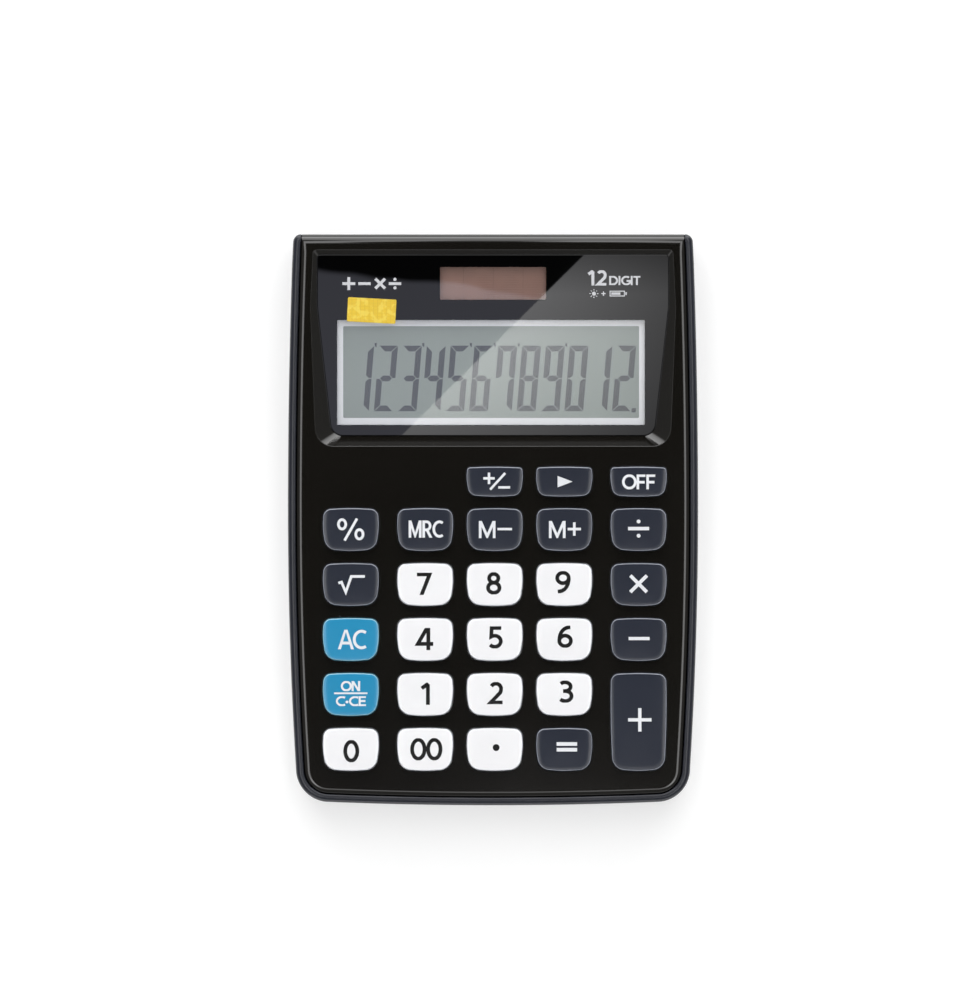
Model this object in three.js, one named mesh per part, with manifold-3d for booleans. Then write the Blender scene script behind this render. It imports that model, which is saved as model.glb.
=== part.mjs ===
// A desktop pocket calculator with a twelve-digit display, as an assembly of its separate pieces, in mm.
//
// Two frames are used. In the base frame +X is to the right, +Y is towards the display and +Z is up,
// and the table is z = 0. The keys' face is tilted up towards the display. In the face frame u runs
// across the face, v runs up it towards the display, and w points out of it, with w = 0 on the face.
import * as THREE from "three";
import { mergeVertices } from "three/addons/utils/BufferGeometryUtils.js";
import Module from "manifold-3d";

const wasm = await Module();
wasm.setup();

// ---- Case ----
const CASE_LENGTH = 120;
const CASE_WIDTH = 86.2;
const FRONT_TAPER = 2.2; // how far each side has drawn in at the front edge
const REAR_TAPER = 1.1; // and at the rear edge
const FRONT_BOW = 1.1; // how far the front edge's middle stands ahead of its ends
const FRONT_CORNER_RADIUS = 7;
const REAR_CORNER_RADIUS = 0.6;
const TILT = THREE.MathUtils.degToRad(4);
const FACE_HEIGHT_FRONT = 9.8; // the face above the table, at the front edge
const RIM_WIDTH = 1.65; // the rear case's wall, which shows as a rim round the face
const RIM_ROUNDING = 1;
const PLATE_EDGE_WIDTH = 1.2; // how far in the front case's edge starts to roll down to the rim
const PLATE_EDGE_DROP = 0.45;
const BASE_ROUNDING = 1.2;
const BASE_WALL = 1.8;
const FACE_WALL = 1.8;
const SEAM = 0.2;
const SKIRT_DEPTH = 5; // the front case's wall that turns down over the rear edge
const SKIRT_WALL = 1.8;
const SKIRT_ROUNDING = 1.5;

// ---- Display recess and lens ----
const RECESS_SIDE_MARGIN = 4.85;
const RECESS_REAR_MARGIN = 3.35;
const RECESS_LENGTH = 41.15;
const RECESS_REAR_INSET = 0.6; // how much narrower each side is at the rear than at the shoulder
const RECESS_FRONT_INSET = 1.15; // and at the front
const RECESS_SHOULDER = 12; // the widest line, from the rear of the recess
const RECESS_FRONT_RADIUS = 3.8;
const RECESS_REAR_RADIUS = 0.8;
const LENS_FRONT_RADIUS = 2.6;
const RECESS_DEPTH = 0.35; // the lens below the face, at its rear edge
const RING_REAR = 0.95; // the sloping walls round the lens, as seen from above
const RING_REAR_SIDE = 0.75;
const RING_SHOULDER_SIDE = 1.35;
const RING_FRONT_SIDE = 3.2;
const RING_FRONT = 2.2;
const LENS_TILT = THREE.MathUtils.degToRad(3);
const LENS_THICKNESS = 1.2;
const LENS_CLEARANCE = 0.12;
const LENS_BED = 0.1;
const TUB_FLOOR = 2.4; // the front case's floor under the lens
const TUB_WALL = 1.2;

// ---- Display and solar cell ----
const LCD_HEIGHT = 24.4;
const LCD_THICKNESS = 1.8;
const LCD_SIDE_MARGIN = 1.4;
const LCD_FRONT_MARGIN = 1;
const LCD_OFFSET = -0.4; // from the middle of the lens
const SOLAR_WIDTH = 25;
const SOLAR_HEIGHT = 9.2;
const SOLAR_THICKNESS = 1.1;
const SOLAR_REAR_MARGIN = 1.5;
const GLASS_GAP = 0.25; // round the display and the solar cell, and between them and the lens
const CONNECTOR_THICKNESS = 0.25;
const CONNECTOR_OVERLAP = 3.2;
const CONNECTOR_BOSS_GAP = 0.45;
const STICKER_WIDTH = 10.6;
const STICKER_HEIGHT = 5.3;
const STICKER_THICKNESS = 0.08;
const STICKER_GAP = 0.03;
const STICKER_TURN = THREE.MathUtils.degToRad(-4);
const STICKER_SIDE_MARGIN = 6.4;
const STICKER_REAR_MARGIN = 9.2;

// ---- Keys ----
const KEYPAD_SIDE_MARGIN = 7.2;
const KEYPAD_FRONT_MARGIN = 7.6;
const KEYPAD_REAR_MARGIN = 4.65;
const KEYPAD_OFFSET = 0.35;
const OUTER_COLUMN_EXTRA = 1; // the outer columns stand this much further off
const KEY_GAP_ACROSS = 3.2;
const KEY_GAP_ALONG = 3.14;
const SMALL_KEY_HEIGHT = 5.7;
const SMALL_KEY_GAP = 3;
const KEY_PROUD = 1.4;
const KEY_TRAVEL = 1.2;
const KEY_CLEARANCE = 0.3;
const KEY_REAR_RADIUS = 2;
const KEY_FRONT_RADIUS = 3;
const SMALL_KEY_REAR_RADIUS = 0.6;
const SMALL_KEY_FRONT_RADIUS = 1.8;
const KEY_TAPER = 0.35; // how much narrower each side is at the key's front edge
const KEY_BOW = 0.15;
const KEY_CHAMFER = 0.4;
const KEY_DRAFT = 0.12;
const FLANGE_WIDTH = 0.6;
const FLANGE_THICKNESS = 0.9;
const FLANGE_GAP = 0.1;

// ---- Rubber mat and board ----
const DOME_GAP = 0.1;
const DOME_COLLAPSED = 0.6; // a dome's height when its key is fully pressed
const DOME_RADIUS = 2.5;
const DOME_TOP_RADIUS = 1.6;
const DOME_HOLLOW_RADIUS = 1.3;
const DOME_HOLLOW_DEPTH = 1.5;
const MAT_THICKNESS = 0.8;
const BOARD_GAP = 0.1;
const BOARD_THICKNESS = 1.2;
const BOARD_SIDE_MARGIN = 5.2;
const BOARD_FRONT_MARGIN = 7.8;
const BOARD_REAR_MARGIN = 4.1;
const BOARD_CORNER_RADIUS = 2;
const CHIP_RADIUS = 5;
const CHIP_HEIGHT = 1;
const CHIP_OFFSET = 5;
const CHIP_REAR_MARGIN = 17.5;

// ---- Screws ----
const CASE_SCREW_RADIUS = 0.95;
const CASE_SCREW_LENGTH = 4.6;
const CASE_SCREW_HEAD_RADIUS = 1.7;
const CASE_SCREW_HEAD_HEIGHT = 1.1;
const COUNTERBORE_RADIUS = 2;
const SCREW_SEAT = 2.6; // from the underside of the case up to the screw head's seat
const BOSS_RADIUS = 2;
const REAR_BOSS_RADIUS = 2.6;
const REAR_BOSS_RISE = 1.3; // from the seat up to the rear boss's top
const SCREW_HOLE_CLEARANCE = 0.1;
const SCREW_GAP = 0.05;
const SCREW_CHAMFER = 0.3;
const REAR_SCREW_INSET = 6.9;
const REAR_SCREW_DEPTH = 7.15;
const MIDDLE_SCREW_GAP = 1.8;
const POST_RADIUS = 1.3;
const POST_HOLE_CLEARANCE = 0.35;
const BOARD_SCREW_RADIUS = 0.7;
const BOARD_SCREW_LENGTH = 3.4;
const BOARD_SCREW_HEAD_RADIUS = 1.5;
const BOARD_SCREW_HEAD_HEIGHT = 0.8;

// ---- Battery ----
const CELL_RADIUS = 5.8;
const CELL_HEIGHT = 3.05;
const CELL_STEP = 0.35;
const CELL_ROUNDING = 0.2;
const CELL_CLEARANCE = 0.5;
const CELL_OFFSET = -14; // from the middle of the case
const CELL_RECESS_MARGIN = 17.5; // from the display recess's front edge
const HOLDER_WALL = 1.3;
const HOLDER_ROOF = 1;
const CONTACT_THICKNESS = 0.3;
const CONTACT_WIDTH = 2.8;
const CONTACT_SLOT_CLEARANCE = 0.35;
const CONTACT_TAIL = 1.6;
const COVER_SIDE_MARGIN = 2.4; // from the holder's wall to the cover's side
const COVER_THICKNESS = 1.25;
const COVER_CLEARANCE = 0.25;
const COVER_RADIUS = 1.5;
const COVER_SEAT_GAP = 0.05;
const COVER_CELL_GAP = 0.3;
const HOOK_WIDTH = 2.8;
const HOOK_SPACING = 11;
const HOOK_REACH = 1.1;
const HOOK_OVERLAP = 0.3; // of a hook's upright and its tip
const HOOK_THICKNESS = 0.7;
const HOOK_GAP = 0.15;
const LATCH_WIDTH = 4;
const LATCH_HEIGHT = 1.6;
const LATCH_THICKNESS = 0.8;
const LATCH_GAP = 0.35;

// ---- Feet, label and wires ----
const FOOT_RADIUS = 3.5;
const FOOT_PROUD = 0.7;
const FOOT_RECESS = 0.7;
const FOOT_CLEARANCE = 0.05;
const FOOT_ROUNDING = 0.25;
const FRONT_FOOT_INSET = 7.2;
const FRONT_FOOT_MARGIN = 13;
const REAR_FOOT_INSET = 6.8;
const REAR_FOOT_MARGIN = 6;
const LABEL_WIDTH = 44;
const LABEL_HEIGHT = 24;
const LABEL_RADIUS = 1;
const LABEL_THICKNESS = 0.12;
const LABEL_RECESS = 0.2;
const LABEL_GAP = 0.02;
const LABEL_CLEARANCE = 0.2;
const LABEL_OFFSET = 5.25; // from the middle of the keypad's length
const WIRE_RADIUS = 0.45;
const WIRE_SIDES = 6;
const WIRE_GAP = 0.12;
const WIRE_SPACING = 2;
const WIRE_BOSS_GAP = 3;
const PAD_MARGIN = 2.5;

// ---- Fineness of curves, and how far cutters run past what they cut ----
const BEYOND = 1;
const LEAST_RADIUS = 0.2;
const SIDE_STEPS = 5;
const CORNER_STEPS = 4;
const KEY_CORNER_STEPS = 2;
const ROUND_SIDES = 20;
const SMALL_ROUND_SIDES = 12;
const DOME_SIDES = 8;

// ---- Places that several pieces share ----
const REAR_EDGE = CASE_LENGTH / 2;
const FRONT_EDGE = -CASE_LENGTH / 2;
const WIDEST_LINE = 2;
const FACE_HEIGHT = FACE_HEIGHT_FRONT + REAR_EDGE * Math.sin(TILT); // at the face frame's origin
const RECESS_REAR = REAR_EDGE - RECESS_REAR_MARGIN;
const RECESS_FRONT = RECESS_REAR - RECESS_LENGTH;
const RECESS_HALF = CASE_WIDTH / 2 - RECESS_SIDE_MARGIN;
const LENS_REAR = RECESS_REAR - RING_REAR;
const LENS_LENGTH = (LENS_REAR - RECESS_FRONT - RING_FRONT) / Math.cos(LENS_TILT);
const LENS_REAR_HALF = RECESS_HALF - RECESS_REAR_INSET - RING_REAR_SIDE;
const LENS_SHOULDER_HALF = RECESS_HALF - RING_SHOULDER_SIDE;
const LENS_FRONT_HALF = RECESS_HALF - RECESS_FRONT_INSET - RING_FRONT_SIDE;
const LENS_SEAT = -LENS_THICKNESS - LENS_BED;
const TUB_BOTTOM = LENS_SEAT - TUB_FLOOR;

// Two outer columns, two pitches and one key's width make up the space between the side margins.
const KEY_PITCH_ACROSS =
  (CASE_WIDTH / 2 - KEYPAD_SIDE_MARGIN - OUTER_COLUMN_EXTRA + KEY_GAP_ACROSS / 2) / 2.5;
const KEY_WIDTH = KEY_PITCH_ACROSS - KEY_GAP_ACROSS;
const KEYPAD_LENGTH = RECESS_FRONT - KEYPAD_REAR_MARGIN - FRONT_EDGE - KEYPAD_FRONT_MARGIN;
const FULL_ROWS = 5;
const KEY_PITCH_ALONG =
  (KEYPAD_LENGTH - SMALL_KEY_HEIGHT - SMALL_KEY_GAP + KEY_GAP_ALONG) / FULL_ROWS;
const KEY_HEIGHT = KEY_PITCH_ALONG - KEY_GAP_ALONG;
const FRONT_ROW = FRONT_EDGE + KEYPAD_FRONT_MARGIN + KEY_HEIGHT / 2;
const SMALL_ROW = RECESS_FRONT - KEYPAD_REAR_MARGIN - SMALL_KEY_HEIGHT / 2;

const FLANGE_TOP = -FACE_WALL - FLANGE_GAP;
const FLANGE_BOTTOM = FLANGE_TOP - FLANGE_THICKNESS;
const DOME_HEIGHT = DOME_COLLAPSED + KEY_TRAVEL;
const MAT_TOP = FLANGE_BOTTOM - DOME_GAP - DOME_HEIGHT;
const MAT_BOTTOM = MAT_TOP - MAT_THICKNESS;
const BOARD_TOP = MAT_BOTTOM - BOARD_GAP;
const BOARD_BOTTOM = BOARD_TOP - BOARD_THICKNESS;
const BOARD_HALF = CASE_WIDTH / 2 - BOARD_SIDE_MARGIN;
const BOARD_FRONT = FRONT_EDGE + BOARD_FRONT_MARGIN;
const BOARD_REAR = RECESS_FRONT - BOARD_REAR_MARGIN;

const UNDERSIDE = FOOT_PROUD;
const BASE_INSIDE = UNDERSIDE + BASE_WALL;
const COVER_TOP = UNDERSIDE + COVER_THICKNESS;
const CELL_BOTTOM = COVER_TOP + COVER_CELL_GAP;
const CELL_TOP = CELL_BOTTOM + CELL_HEIGHT;
const WELL_RADIUS = CELL_RADIUS + CELL_CLEARANCE;
const HOLDER_RADIUS = WELL_RADIUS + HOLDER_WALL;
const WELL_TOP = CELL_TOP + CONTACT_THICKNESS + 3 * GLASS_GAP;
const HOLDER_TOP = WELL_TOP + HOLDER_ROOF;
const CELL_LINE = RECESS_FRONT + CELL_RECESS_MARGIN;
const COVER_WIDTH = 2 * (HOLDER_RADIUS + COVER_SIDE_MARGIN);
const COVER_LENGTH = 2 * (HOLDER_RADIUS + LATCH_GAP + LATCH_THICKNESS + COVER_CLEARANCE);
const HINGE_LINE = CELL_LINE + COVER_LENGTH / 2 + COVER_CLEARANCE;

// ---- Materials ----
function plastic(color, roughness) {
  return new THREE.MeshStandardMaterial({ color, roughness, metalness: 0, flatShading: true });
}

function metal(color, roughness) {
  return new THREE.MeshStandardMaterial({ color, roughness, metalness: 1, flatShading: true });
}

const glossBlack = plastic(0x17140f, 0.12);
const caseSlate = plastic(0x2b2e38, 0.45);
const keySlate = plastic(0x333842, 0.4);
const keyWhite = plastic(0xf4f4f2, 0.35);
const keyBlue = plastic(0x2c86ac, 0.35);
const lensBlack = plastic(0x0b0b0d, 0.05);
const displayGrey = plastic(0x9aa59f, 0.3);
const solarBrown = plastic(0x8c6f68, 0.25);
const boardGreen = plastic(0x2f6a3c, 0.5);
const matRubber = plastic(0xb9bcc0, 0.8);
const footRubber = plastic(0x1c1c1e, 0.9);
const epoxyBlack = plastic(0x101010, 0.4);
const filmAmber = plastic(0xb07a2c, 0.35);
const wireRed = plastic(0xb52a22, 0.5);
const wireBlack = plastic(0x1a1a1a, 0.5);
const stickerYellow = plastic(0xf2c81e, 0.5);
const labelSilver = plastic(0xb8babd, 0.4);
const screwSteel = metal(0xa8aaad, 0.35);
const cellSteel = metal(0xc2c4c7, 0.25);
const contactSteel = metal(0xb9b6a8, 0.3);

// ---- Shapes ----
// The side of the case at v, and the front edge at u.
function sideAt(v) {
  const [end, taper] = v > WIDEST_LINE ? [REAR_EDGE, REAR_TAPER] : [FRONT_EDGE, FRONT_TAPER];
  return CASE_WIDTH / 2 - taper * ((v - WIDEST_LINE) / (end - WIDEST_LINE)) ** 2;
}

function frontAt(u) {
  return FRONT_EDGE + FRONT_BOW * (u / (CASE_WIDTH / 2)) ** 2;
}

function arc(x, y, radius, from, to, steps) {
  return Array.from({ length: steps + 1 }, (_, i) => {
    const angle = from + ((to - from) * i) / steps;
    return new THREE.Vector2(x + radius * Math.cos(angle), y + radius * Math.sin(angle));
  });
}

// The case's outline, anticlockwise, moved in by one distance at the sides and front and another at the rear.
function caseOutline(inset, rearInset = inset) {
  const radius = Math.max(FRONT_CORNER_RADIUS - inset, LEAST_RADIUS);
  const rearRadius = Math.max(REAR_CORNER_RADIUS - inset, LEAST_RADIUS);
  let x = sideAt(FRONT_EDGE);
  let y = FRONT_EDGE;
  for (let i = 0; i < 4; i++) {
    x = sideAt(y) - inset - radius;
    y = frontAt(x) + inset + radius;
  }
  const rear = REAR_EDGE - rearInset;
  const right = arc(
    sideAt(rear) - inset - rearRadius,
    rear - rearRadius,
    rearRadius,
    Math.PI / 2,
    0,
    KEY_CORNER_STEPS,
  );
  for (let i = 1; i < SIDE_STEPS; i++) {
    const v = rear - rearRadius + ((y - rear + rearRadius) * i) / SIDE_STEPS;
    right.push(new THREE.Vector2(sideAt(v) - inset, v));
  }
  right.push(...arc(x, y, radius, 0, -Math.PI / 2, CORNER_STEPS));
  for (let i = 1; i < SIDE_STEPS; i++) {
    const u = x * (1 - i / SIDE_STEPS);
    right.push(new THREE.Vector2(u, frontAt(u) + inset));
  }
  const left = right.map((p) => new THREE.Vector2(-p.x, p.y));
  return [...left, new THREE.Vector2(0, FRONT_EDGE + inset), ...right.reverse()];
}

// A polygon with rounded corners [x, y, radius], anticlockwise, whose edges bow out by the given sagitta.
function roundedOutline(corners, steps, bow = 0) {
  const points = [];
  corners.forEach(([x, y, radius], i) => {
    const corner = new THREE.Vector2(x, y);
    const before = new THREE.Vector2(...corners.at(i - 1)).sub(corner).normalize();
    const after = new THREE.Vector2(...corners[(i + 1) % corners.length]).sub(corner).normalize();
    const half = Math.acos(before.dot(after)) / 2;
    const centre = before.clone().add(after).setLength(radius / Math.sin(half)).add(corner);
    const from = Math.atan2(-before.x, before.y) + Math.PI;
    const turn = Math.PI - 2 * half;
    points.push(arc(centre.x, centre.y, radius, from, from + turn, steps));
  });
  if (!bow) return points.flat();
  return points.flatMap((curve, i) => {
    const start = curve.at(-1);
    const end = points[(i + 1) % points.length][0];
    const out = new THREE.Vector2(end.y - start.y, start.x - end.x).setLength(bow);
    return [...curve, start.clone().lerp(end, 0.5).add(out)];
  });
}

function rectangle(width, height, radius, x = 0, y = 0, steps = KEY_CORNER_STEPS) {
  return roundedOutline(
    [
      [x - width / 2, y - height / 2, radius],
      [x + width / 2, y - height / 2, radius],
      [x + width / 2, y + height / 2, radius],
      [x - width / 2, y + height / 2, radius],
    ],
    steps,
  );
}

function circle(radius, x = 0, y = 0, sides = ROUND_SIDES) {
  return arc(x, y, radius, 0, 2 * Math.PI, sides).slice(0, -1);
}

// An outline lifted to one height, as a ring of a loft.
function at(outline, height) {
  return outline.map((p) => new THREE.Vector3(p.x, p.y, height));
}

// A closed body through rings that have the same number of points, from the lowest to the highest.
function loft(rings) {
  const count = rings[0].length;
  const positions = rings.flat().flatMap((p) => p.toArray());
  const cap = (ring) => THREE.ShapeUtils.triangulateShape(ring.map((p) => new THREE.Vector2(p.x, p.y)), []);
  const last = (rings.length - 1) * count;
  const index = cap(rings[0]).flatMap(([a, b, c]) => [a, c, b]);
  for (let ring = 0; ring < last; ring += count) {
    for (let i = 0; i < count; i++) {
      const next = (i + 1) % count;
      index.push(ring + i, ring + next, ring + count + next);
      index.push(ring + i, ring + count + next, ring + count + i);
    }
  }
  index.push(...cap(rings.at(-1)).flatMap((face) => face.map((i) => last + i)));
  const geometry = new THREE.BufferGeometry();
  geometry.setAttribute("position", new THREE.Float32BufferAttribute(positions, 3));
  return geometry.setIndex(index);
}

function prism(outline, low, high) {
  return loft([at(outline, low), at(outline, high)]);
}

// A tube along a smooth curve through the points, closed at both ends.
function tube(points, radius) {
  const path = new THREE.CatmullRomCurve3(points);
  const section = new THREE.Shape(circle(radius, 0, 0, WIRE_SIDES));
  const steps = 3 * (points.length - 1);
  return new THREE.ExtrudeGeometry(section, { steps, extrudePath: path, curveSegments: 1 });
}

// ---- Solids, joined and cut ----
function solid(geometry) {
  const bare = new THREE.BufferGeometry();
  bare.setAttribute("position", geometry.getAttribute("position"));
  bare.setIndex(geometry.index);
  const merged = mergeVertices(bare, 1e-4);
  return new wasm.Manifold(
    new wasm.Mesh({
      numProp: 3,
      vertProperties: merged.attributes.position.array,
      triVerts: new Uint32Array(merged.index.array),
    }),
  );
}

function joined(body, geometries) {
  return geometries.reduce((sum, geometry) => sum.add(solid(geometry)), body);
}

function cut(body, geometries) {
  return geometries.reduce((rest, geometry) => rest.subtract(solid(geometry)), body);
}

function geometryOf(body) {
  const mesh = body.getMesh();
  const geometry = new THREE.BufferGeometry();
  geometry.setAttribute("position", new THREE.Float32BufferAttribute(mesh.vertProperties, 3));
  geometry.setIndex([...mesh.triVerts]);
  geometry.computeVertexNormals();
  return geometry;
}

// ---- Groups ----
const calculator = new THREE.Group();
const face = new THREE.Group();
face.rotation.x = TILT;
face.position.z = FACE_HEIGHT;
calculator.add(face);
const lensFrame = new THREE.Group(); // its origin is the middle of the lens's rear edge, on the lens's top
lensFrame.rotation.x = LENS_TILT;
lensFrame.position.set(0, LENS_REAR, -RECESS_DEPTH);
face.add(lensFrame);
calculator.updateMatrixWorld(true);

function add(name, shape, material, parent = face) {
  const geometry = shape.isBufferGeometry ? shape : geometryOf(shape);
  const mesh = new THREE.Mesh(geometry, material);
  mesh.name = name;
  parent.add(mesh);
}

// Face and base frame points, each from the other's.
function inBase(u, v, w) {
  return new THREE.Vector3(u, v, w).applyMatrix4(face.matrixWorld);
}

function depthAt(v, z) {
  return (z - FACE_HEIGHT - v * Math.sin(TILT)) / Math.cos(TILT);
}

function onBase(outline, z) {
  return outline.map((p) => inBase(p.x, p.y, depthAt(p.y, z)));
}

function onFace(outline, w) {
  return outline.map((p) => inBase(p.x, p.y, w));
}

function inLens(outline, w) {
  return outline.map((p) => new THREE.Vector3(p.x, p.y, w).applyMatrix4(lensFrame.matrix));
}

// ---- Places of screws ----
const GAP_COLUMN = 1.5 * KEY_PITCH_ACROSS + OUTER_COLUMN_EXTRA / 2; // between the outer columns and the next
const gapColumns = [-1, 1].map((side) => KEYPAD_OFFSET + side * GAP_COLUMN);
const caseScrews = [
  ...gapColumns.map((u) => [u, frontAt(u) + RIM_WIDTH + 2 * SEAM + BOSS_RADIUS]),
  ...gapColumns.map((u) => [u, RECESS_FRONT - MIDDLE_SCREW_GAP]),
  ...[-1, 1].map((side) => [
    side * (LENS_REAR_HALF - REAR_SCREW_INSET),
    RECESS_REAR - REAR_SCREW_DEPTH,
  ]),
];
const boardScrews = gapColumns.flatMap((u) =>
  [0.5, 3.5].map((rows) => [u, FRONT_ROW + rows * KEY_PITCH_ALONG]),
);

function seatDepth(v) {
  return depthAt(v, UNDERSIDE) + SCREW_SEAT;
}

// ---- Keys ----
const LAYOUT = [
  [null, null, "sign", "backspace", "off"],
  ["percent", "memory_recall", "memory_minus", "memory_plus", "divide"],
  ["root", "7", "8", "9", "times"],
  ["all_clear", "4", "5", "6", "minus"],
  ["on_clear", "1", "2", "3", "plus"],
  ["0", "00", "point", "equals", null],
];
const COLUMNS = [-1, -0.5, 0, 0.5, 1].map(
  (c) => KEYPAD_OFFSET + 2 * c * KEY_PITCH_ACROSS + (Math.abs(c) === 1 ? c * OUTER_COLUMN_EXTRA : 0),
);

const keys = LAYOUT.flatMap((names, row) =>
  names.flatMap((name, column) => {
    if (!name) return [];
    const small = row === 0;
    const tall = name === "plus";
    const v = small ? SMALL_ROW : FRONT_ROW + (FULL_ROWS - row) * KEY_PITCH_ALONG;
    return {
      name,
      small,
      u: COLUMNS[column],
      v: tall ? v - KEY_PITCH_ALONG / 2 : v,
      height: small ? SMALL_KEY_HEIGHT : KEY_HEIGHT + (tall ? KEY_PITCH_ALONG : 0),
    };
  }),
);

// A key's outline, a rounded trapezium a little narrower at the front, grown by an amount all round.
function keyOutline(key, grow) {
  const half = KEY_WIDTH / 2 + grow;
  const front = key.v - key.height / 2 - grow;
  const rear = key.v + key.height / 2 + grow;
  const cornerRadius = (radius) =>
    Math.max(Math.min(radius, key.height / 2 - LEAST_RADIUS) + grow, LEAST_RADIUS);
  const rearRadius = cornerRadius(key.small ? SMALL_KEY_REAR_RADIUS : KEY_REAR_RADIUS);
  const frontRadius = cornerRadius(key.small ? SMALL_KEY_FRONT_RADIUS : KEY_FRONT_RADIUS);
  return roundedOutline(
    [
      [key.u - half + KEY_TAPER, front, frontRadius],
      [key.u + half - KEY_TAPER, front, frontRadius],
      [key.u + half, rear, rearRadius],
      [key.u - half, rear, rearRadius],
    ],
    KEY_CORNER_STEPS,
    KEY_BOW,
  );
}

function keyMaterial(name) {
  if (/^\d+$|point/.test(name)) return keyWhite;
  return /clear/.test(name) ? keyBlue : keySlate;
}

for (const key of keys) {
  const cap = loft([
    at(keyOutline(key, FLANGE_WIDTH), FLANGE_BOTTOM),
    at(keyOutline(key, FLANGE_WIDTH), FLANGE_TOP),
    at(keyOutline(key, 0), FLANGE_TOP),
    at(keyOutline(key, -KEY_DRAFT), KEY_PROUD - KEY_CHAMFER),
    at(keyOutline(key, -KEY_DRAFT - KEY_CHAMFER), KEY_PROUD),
  ]);
  add("key_" + key.name, cap, keyMaterial(key.name));
}

// ---- Display lens and what lies under it ----
function recessOutline(grow) {
  const shoulder = RECESS_REAR - RECESS_SHOULDER;
  return roundedOutline(
    [
      [-RECESS_HALF + RECESS_FRONT_INSET - grow, RECESS_FRONT - grow, RECESS_FRONT_RADIUS + grow],
      [RECESS_HALF - RECESS_FRONT_INSET + grow, RECESS_FRONT - grow, RECESS_FRONT_RADIUS + grow],
      [RECESS_HALF + grow, shoulder, RECESS_SHOULDER],
      [RECESS_HALF - RECESS_REAR_INSET + grow, RECESS_REAR + grow, RECESS_REAR_RADIUS + grow],
      [-RECESS_HALF + RECESS_REAR_INSET - grow, RECESS_REAR + grow, RECESS_REAR_RADIUS + grow],
      [-RECESS_HALF - grow, shoulder, RECESS_SHOULDER],
    ],
    CORNER_STEPS,
  );
}

// In the lens frame, where the rear edge is y = 0.
function lensOutline(grow) {
  const shoulder = RING_REAR - RECESS_SHOULDER;
  return roundedOutline(
    [
      [-LENS_FRONT_HALF - grow, -LENS_LENGTH - grow, LENS_FRONT_RADIUS + grow],
      [LENS_FRONT_HALF + grow, -LENS_LENGTH - grow, LENS_FRONT_RADIUS + grow],
      [LENS_SHOULDER_HALF + grow, shoulder, RECESS_SHOULDER],
      [LENS_REAR_HALF + grow, grow, RECESS_REAR_RADIUS + grow],
      [-LENS_REAR_HALF - grow, grow, RECESS_REAR_RADIUS + grow],
      [-LENS_SHOULDER_HALF - grow, shoulder, RECESS_SHOULDER],
    ],
    CORNER_STEPS,
  );
}

const lcdWidth = 2 * (LENS_FRONT_HALF - LCD_SIDE_MARGIN);
const lcdY = -LENS_LENGTH + LCD_FRONT_MARGIN + LCD_HEIGHT / 2;
const solarY = -SOLAR_REAR_MARGIN - SOLAR_HEIGHT / 2;
const glassTop = LENS_SEAT - GLASS_GAP;

function lcdOutline(grow) {
  return rectangle(lcdWidth + 2 * grow, LCD_HEIGHT + 2 * grow, 0.5, LCD_OFFSET, lcdY);
}

function solarOutline(grow) {
  return rectangle(SOLAR_WIDTH + 2 * grow, SOLAR_HEIGHT + 2 * grow, 0.3, 0, solarY);
}

add("display_lens", prism(lensOutline(0), -LENS_THICKNESS, 0), lensBlack, lensFrame);
add("lcd_panel", prism(lcdOutline(0), glassTop - LCD_THICKNESS, glassTop), displayGrey, lensFrame);
add("solar_cell", prism(solarOutline(0), glassTop - SOLAR_THICKNESS, glassTop), solarBrown, lensFrame);

function sticker() {
  const outline = rectangle(STICKER_WIDTH, STICKER_HEIGHT, LEAST_RADIUS);
  const flat = prism(outline, STICKER_GAP, STICKER_GAP + STICKER_THICKNESS);
  const x = -LENS_REAR_HALF + STICKER_SIDE_MARGIN + STICKER_WIDTH / 2;
  const y = -STICKER_REAR_MARGIN - STICKER_HEIGHT / 2;
  return flat.rotateZ(STICKER_TURN).translate(x, y, 0);
}

add("inspection_sticker", sticker(), stickerYellow, lensFrame);

// ---- Front case ----
// The plate and its skirt, as one side profile across the whole case, trimmed to the face's outline.
function frontPlate() {
  const profile = [
    new THREE.Vector2(FRONT_EDGE - BEYOND, -FACE_WALL),
    new THREE.Vector2(REAR_EDGE - SKIRT_WALL, -FACE_WALL),
    new THREE.Vector2(REAR_EDGE - SKIRT_WALL, -SKIRT_DEPTH),
    new THREE.Vector2(REAR_EDGE, -SKIRT_DEPTH),
    ...arc(REAR_EDGE - SKIRT_ROUNDING, -SKIRT_ROUNDING, SKIRT_ROUNDING, 0, Math.PI / 2, CORNER_STEPS),
    new THREE.Vector2(FRONT_EDGE - BEYOND, 0),
  ];
  // The profile is drawn as (v, w) and extruded along u.
  const across = prism(profile, -CASE_WIDTH, CASE_WIDTH);
  across.applyMatrix4(
    new THREE.Matrix4().makeBasis(
      new THREE.Vector3(0, 1, 0),
      new THREE.Vector3(0, 0, 1),
      new THREE.Vector3(1, 0, 0),
    ),
  );
  const trimmed = (inset, height) => at(caseOutline(RIM_WIDTH + SEAM + inset, 0), height);
  const trim = loft([
    trimmed(0, -SKIRT_DEPTH - BEYOND),
    trimmed(0, -PLATE_EDGE_DROP),
    trimmed(PLATE_EDGE_WIDTH * 0.3, -PLATE_EDGE_DROP * 0.3),
    trimmed(PLATE_EDGE_WIDTH, 0),
    trimmed(PLATE_EDGE_WIDTH, BEYOND),
  ]);
  return solid(across).intersect(solid(trim));
}

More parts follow.
